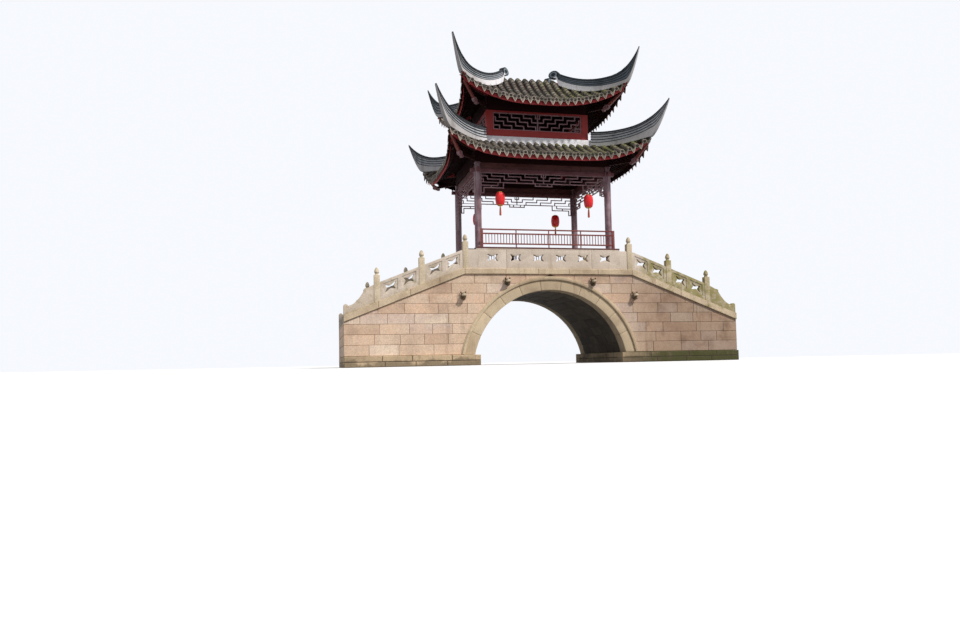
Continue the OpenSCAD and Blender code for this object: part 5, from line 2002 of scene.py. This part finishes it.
@dataclass
class Lantern:
    """A red silk lantern on a wire: ribbed body, gilt caps, and a tassel."""

    node: str
    body_h: float = 0.380
    tassel_l: float = 0.330
    wire: float = 0.002
    ribs: int = 24
    rib_sink: float = 0.045
    bow: float = 66.0
    threads: int = 44
    thread_r: float = 0.0024
    knot_h: float = 0.086
    eye_r: float = 0.010

    def build(self) -> None:
        """Builds the lantern in one piece that swings with its body."""
        low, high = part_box(self.node)
        self.x, self.y = (low.x + high.x) / 2, (low.y + high.y) / 2
        self.radius = (high.x - low.x) / 2
        self.top = low.z + self.tassel_l + self.body_h
        piece = Piece(f"{self.node}_silk_and_tassel", (Look.SILK, Look.GILT, Look.TASSEL, Look.IRON))
        self.body(piece)
        self.caps(piece)
        self.tassel(piece, low.z)
        self.hang(piece, high.z)
        piece.make("lantern_red", (self.node,), body_of(self.node), smooth=50)

    def turned(self, piece: Piece, profile: Sequence[Flat], kind: int, around: int = 32,
               ribs: float = 0.0) -> None:
        """Adds a turned form.

        Args:
            piece: The piece that takes it.
            profile: Radius and height of each ring, from the top down.
            kind: Number of its finish.
            around: Points round each ring.
            ribs: How far the silk sinks between the lantern's ribs, as a share of the radius.
        """
        rings = []
        for r, z in profile:
            ring = []
            for i in range(around):
                a = 2 * math.pi * i / around
                sunk = r * (1 - ribs * (1 - abs(math.cos(a * self.ribs / 2)) ** 0.6))
                ring.append((self.x + sunk * math.cos(a), self.y + sunk * math.sin(a), z))
            rings.append(ring)
        piece.loft(rings, 0.5, kind)

    def body(self, piece: Piece) -> None:
        """Adds the silk, drawn in between the ribs.

        Args:
            piece: The piece that takes it.
        """
        profile = []
        half = self.body_h / 2
        for a in np.linspace(self.bow, -self.bow, 17):
            bulge = self.radius * (1 - 0.44 * (1 - math.cos(math.radians(a))))
            up = half * math.sin(math.radians(a)) / math.sin(math.radians(self.bow))
            profile.append((bulge, self.top - half + up))
        self.turned(piece, profile, 0, self.ribs * 6, self.rib_sink)

    def caps(self, piece: Piece) -> None:
        """Adds the gilt caps over and under the silk.

        Args:
            piece: The piece that takes them.
        """
        r = self.radius * 0.56
        section = ((0.3, 0.026), (0.86, 0.026), (0.92, 0.022), (0.92, 0.010), (1.0, 0.008), (1.0, -0.006),
                   (0.3, -0.006))
        for z, way in ((self.top, 1), (self.top - self.body_h, -1)):
            profile = [(r * wide, z + way * up) for wide, up in section]
            self.turned(piece, profile[::way], 1)

    def tassel(self, piece: Piece, low: float) -> None:
        """Adds the knot and the threads of the tassel.

        Args:
            piece: The piece that takes them.
            low: Height of the tassel's end.
        """
        start = self.top - self.body_h
        knot = ((0.006, 0.0), (0.006, 0.030), (0.018, 0.038), (0.022, 0.052), (0.016, 0.066), (0.020, 0.074),
                (0.024, 0.090))
        self.turned(piece, [(r, start - down) for r, down in knot], 1, 20)
        dice = random.Random(self.node)
        for i in range(self.threads):
            a = 2.399 * i
            r = 0.022 * math.sqrt((i + 0.5) / self.threads)
            flare = dice.uniform(1.25, 1.7)
            end = low + dice.uniform(0.0, 0.018)
            head = start - self.knot_h
            rings = []
            for z, grow in ((head, 1.0), (mix(head, end, 0.5), mix(1.0, flare, 0.7)), (end, flare)):
                cx, cy = self.x + r * grow * math.cos(a), self.y + r * grow * math.sin(a)
                rings.append([(cx + self.thread_r * c, cy + self.thread_r * s, z) for c, s in circle(5)])
            piece.loft(rings, 0.5, 2)

    def hang(self, piece: Piece, high: float) -> None:
        """Adds the wire and the eye round its pin.

        Args:
            piece: The piece that takes them.
            high: Height of the eye's top.
        """
        centre = high - self.eye_r - self.wire
        tube = [(self.eye_r + self.wire * c, self.wire * s) for c, s in circle(8)]
        piece.loft([[(self.x + away * s, self.y + aside, centre + away * c) for away, aside in tube]
                    for c, s in circle(24)], 0.5, 3, joined=True)
        self.turned(piece, [(self.wire, centre - self.eye_r), (self.wire, self.top + 0.020)], 3, 8)


@dataclass
class Studio:
    """A pale floor and sky, a soft sun from the upper right front, and the photograph's camera."""

    eye: Point = (-7.0685, -23.703, 0.0634)
    lens: float = 28.08
    yaw: float = 0.2198
    pitch: float = 0.058
    roll: float = -0.02
    sun_towards: Point = (0.30, -0.34, 0.48)
    sun_power: float = 3.2
    sun_soft: float = 2.5
    sky_power: float = 0.58
    bounce: float = 0.18
    floor_half: float = 300.0

    def build(self) -> None:
        """Builds the floor, the lights and the camera."""
        scene = bpy.context.scene
        scene.view_settings.view_transform = "Standard"
        self.floor()
        self.sky()
        sun = bpy.data.lights.new("sun", "SUN")
        sun.energy, sun.angle, sun.color = self.sun_power, math.radians(self.sun_soft), (1.0, 0.96, 0.90)
        lamp = bpy.data.objects.new("sun", sun)
        lamp.rotation_euler = Vector(self.sun_towards).to_track_quat("Z", "Y").to_euler()
        scene.collection.objects.link(lamp)
        self.camera()

    def floor(self) -> None:
        """Lays the pale floor under the footings."""
        graph = Graph("pale_floor")
        lit = (self.bounce, self.bounce, self.bounce, 1)
        graph.finish(graph.blend(self.seen_rays(graph.tree), lit, (0.86, 0.86, 0.87, 1)), 0.9)
        mesh = bpy.data.meshes.new("floor")
        corners = oblong(-self.floor_half, -self.floor_half, self.floor_half, self.floor_half)
        mesh.from_pydata([(x, y, -0.001) for x, y in corners], [], [(0, 1, 2, 3)])
        mesh.materials.append(graph.material)
        floor = bpy.data.objects.new("floor", mesh)
        bpy.context.scene.collection.objects.link(floor)

    @staticmethod
    def seen_rays(tree: bpy.types.NodeTree) -> Socket:
        """Tells the rays that see the surroundings from those that light the bridge.

        Args:
            tree: The floor's or the world's node tree.

        Returns:
            1 for camera, glossy and transmission rays, 0 for others.
        """
        path = tree.nodes.new("ShaderNodeLightPath").outputs
        seen = path["Is Camera Ray"]
        for kind in ("Is Glossy Ray", "Is Transmission Ray"):
            either = tree.nodes.new("ShaderNodeMath")
            either.operation = "MAXIMUM"
            tree.links.new(seen, either.inputs[0])
            tree.links.new(path[kind], either.inputs[1])
            seen = either.outputs[0]
        return seen

    def sky(self) -> None:
        """Sets a pale even sky, white to the camera and softer as a light."""
        world = bpy.data.worlds.new("studio")
        world.use_nodes = True
        bpy.context.scene.world = world
        tree = world.node_tree
        strength = tree.nodes.new("ShaderNodeMapRange")
        tree.links.new(self.seen_rays(tree), strength.inputs["Value"])
        strength.inputs["To Min"].default_value = self.sky_power
        strength.inputs["To Max"].default_value = 1.0
        back = tree.nodes["Background"]
        tree.links.new(strength.outputs[0], back.inputs["Strength"])
        back.inputs["Color"].default_value = (0.93, 0.95, 1.0, 1)

    def camera(self) -> None:
        """Puts the camera at the photograph's viewing angle."""
        cy, sy, cp, sp = math.cos(self.yaw), math.sin(self.yaw), math.cos(self.pitch), math.sin(self.pitch)
        forward = Vector((sy * cp, cy * cp, sp))
        right = Vector((cy, -sy, 0.0))
        up = Vector((-sy * sp, -cy * sp, cp))
        s, c = math.sin(self.roll), math.cos(self.roll)
        axis_x, axis_y = right * c + up * s, up * c - right * s
        turn = Matrix((axis_x, axis_y, -forward)).transposed().to_4x4()
        data = bpy.data.cameras.new("photo_view")
        data.lens, data.sensor_width = self.lens, 36.0
        data.clip_end = 1000.0
        camera = bpy.data.objects.new("photo_view", data)
        camera.matrix_world = Matrix.Translation(self.eye) @ turn
        bpy.context.scene.collection.objects.link(camera)
        bpy.context.scene.camera = camera


def main() -> None:
    """Builds the studio and every sub-assembly in order, and reports each."""
    logging.basicConfig(level=logging.INFO, format="%(message)s")
    form = BridgeForm()
    builders = (
        Studio(), Abutments(form), Vault(form), Footings(form), Kerbs(form), Walks(form), Parapets(),
        SpoutHeads(form), Timber(),
        RoofTiles(LOWER, "lower_roof", pitch=0.2360, seed=101),
        RoofTiles(UPPER, "upper_roof", pitch=0.2430, seed=201),
        Ridges(LOWER, "lower_ridges", sag=0.54, rise_in=0.105, horn=0.680, height=0.430, reach=0.420,
               side_light_tones=(1.0, 1.0)),
        Ridges(UPPER, "upper_ridges", sag=0.30, rise_in=0.490, horn=0.740, height=0.360, reach=0.310,
               head=0.130, beds=(0.34, 0.10)),
        HornBeams(LOWER, end=(0.400, 6.290), root=1.060, top=(0.070, 6.790)),
        HornBeams(UPPER, end=(0.500, 8.160), root=0.960, top=(0.090, 8.600)),
        Gables(UPPER), Fillet(LOWER),
        *(Lantern(f"lantern_{place}") for place in ("front_left", "front_right", "back_left", "back_right")))
    for builder in builders:
        builder.build()
        LOG.info("%s done", type(builder).__name__)


if __name__ == "__main__":
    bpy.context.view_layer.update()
    main()
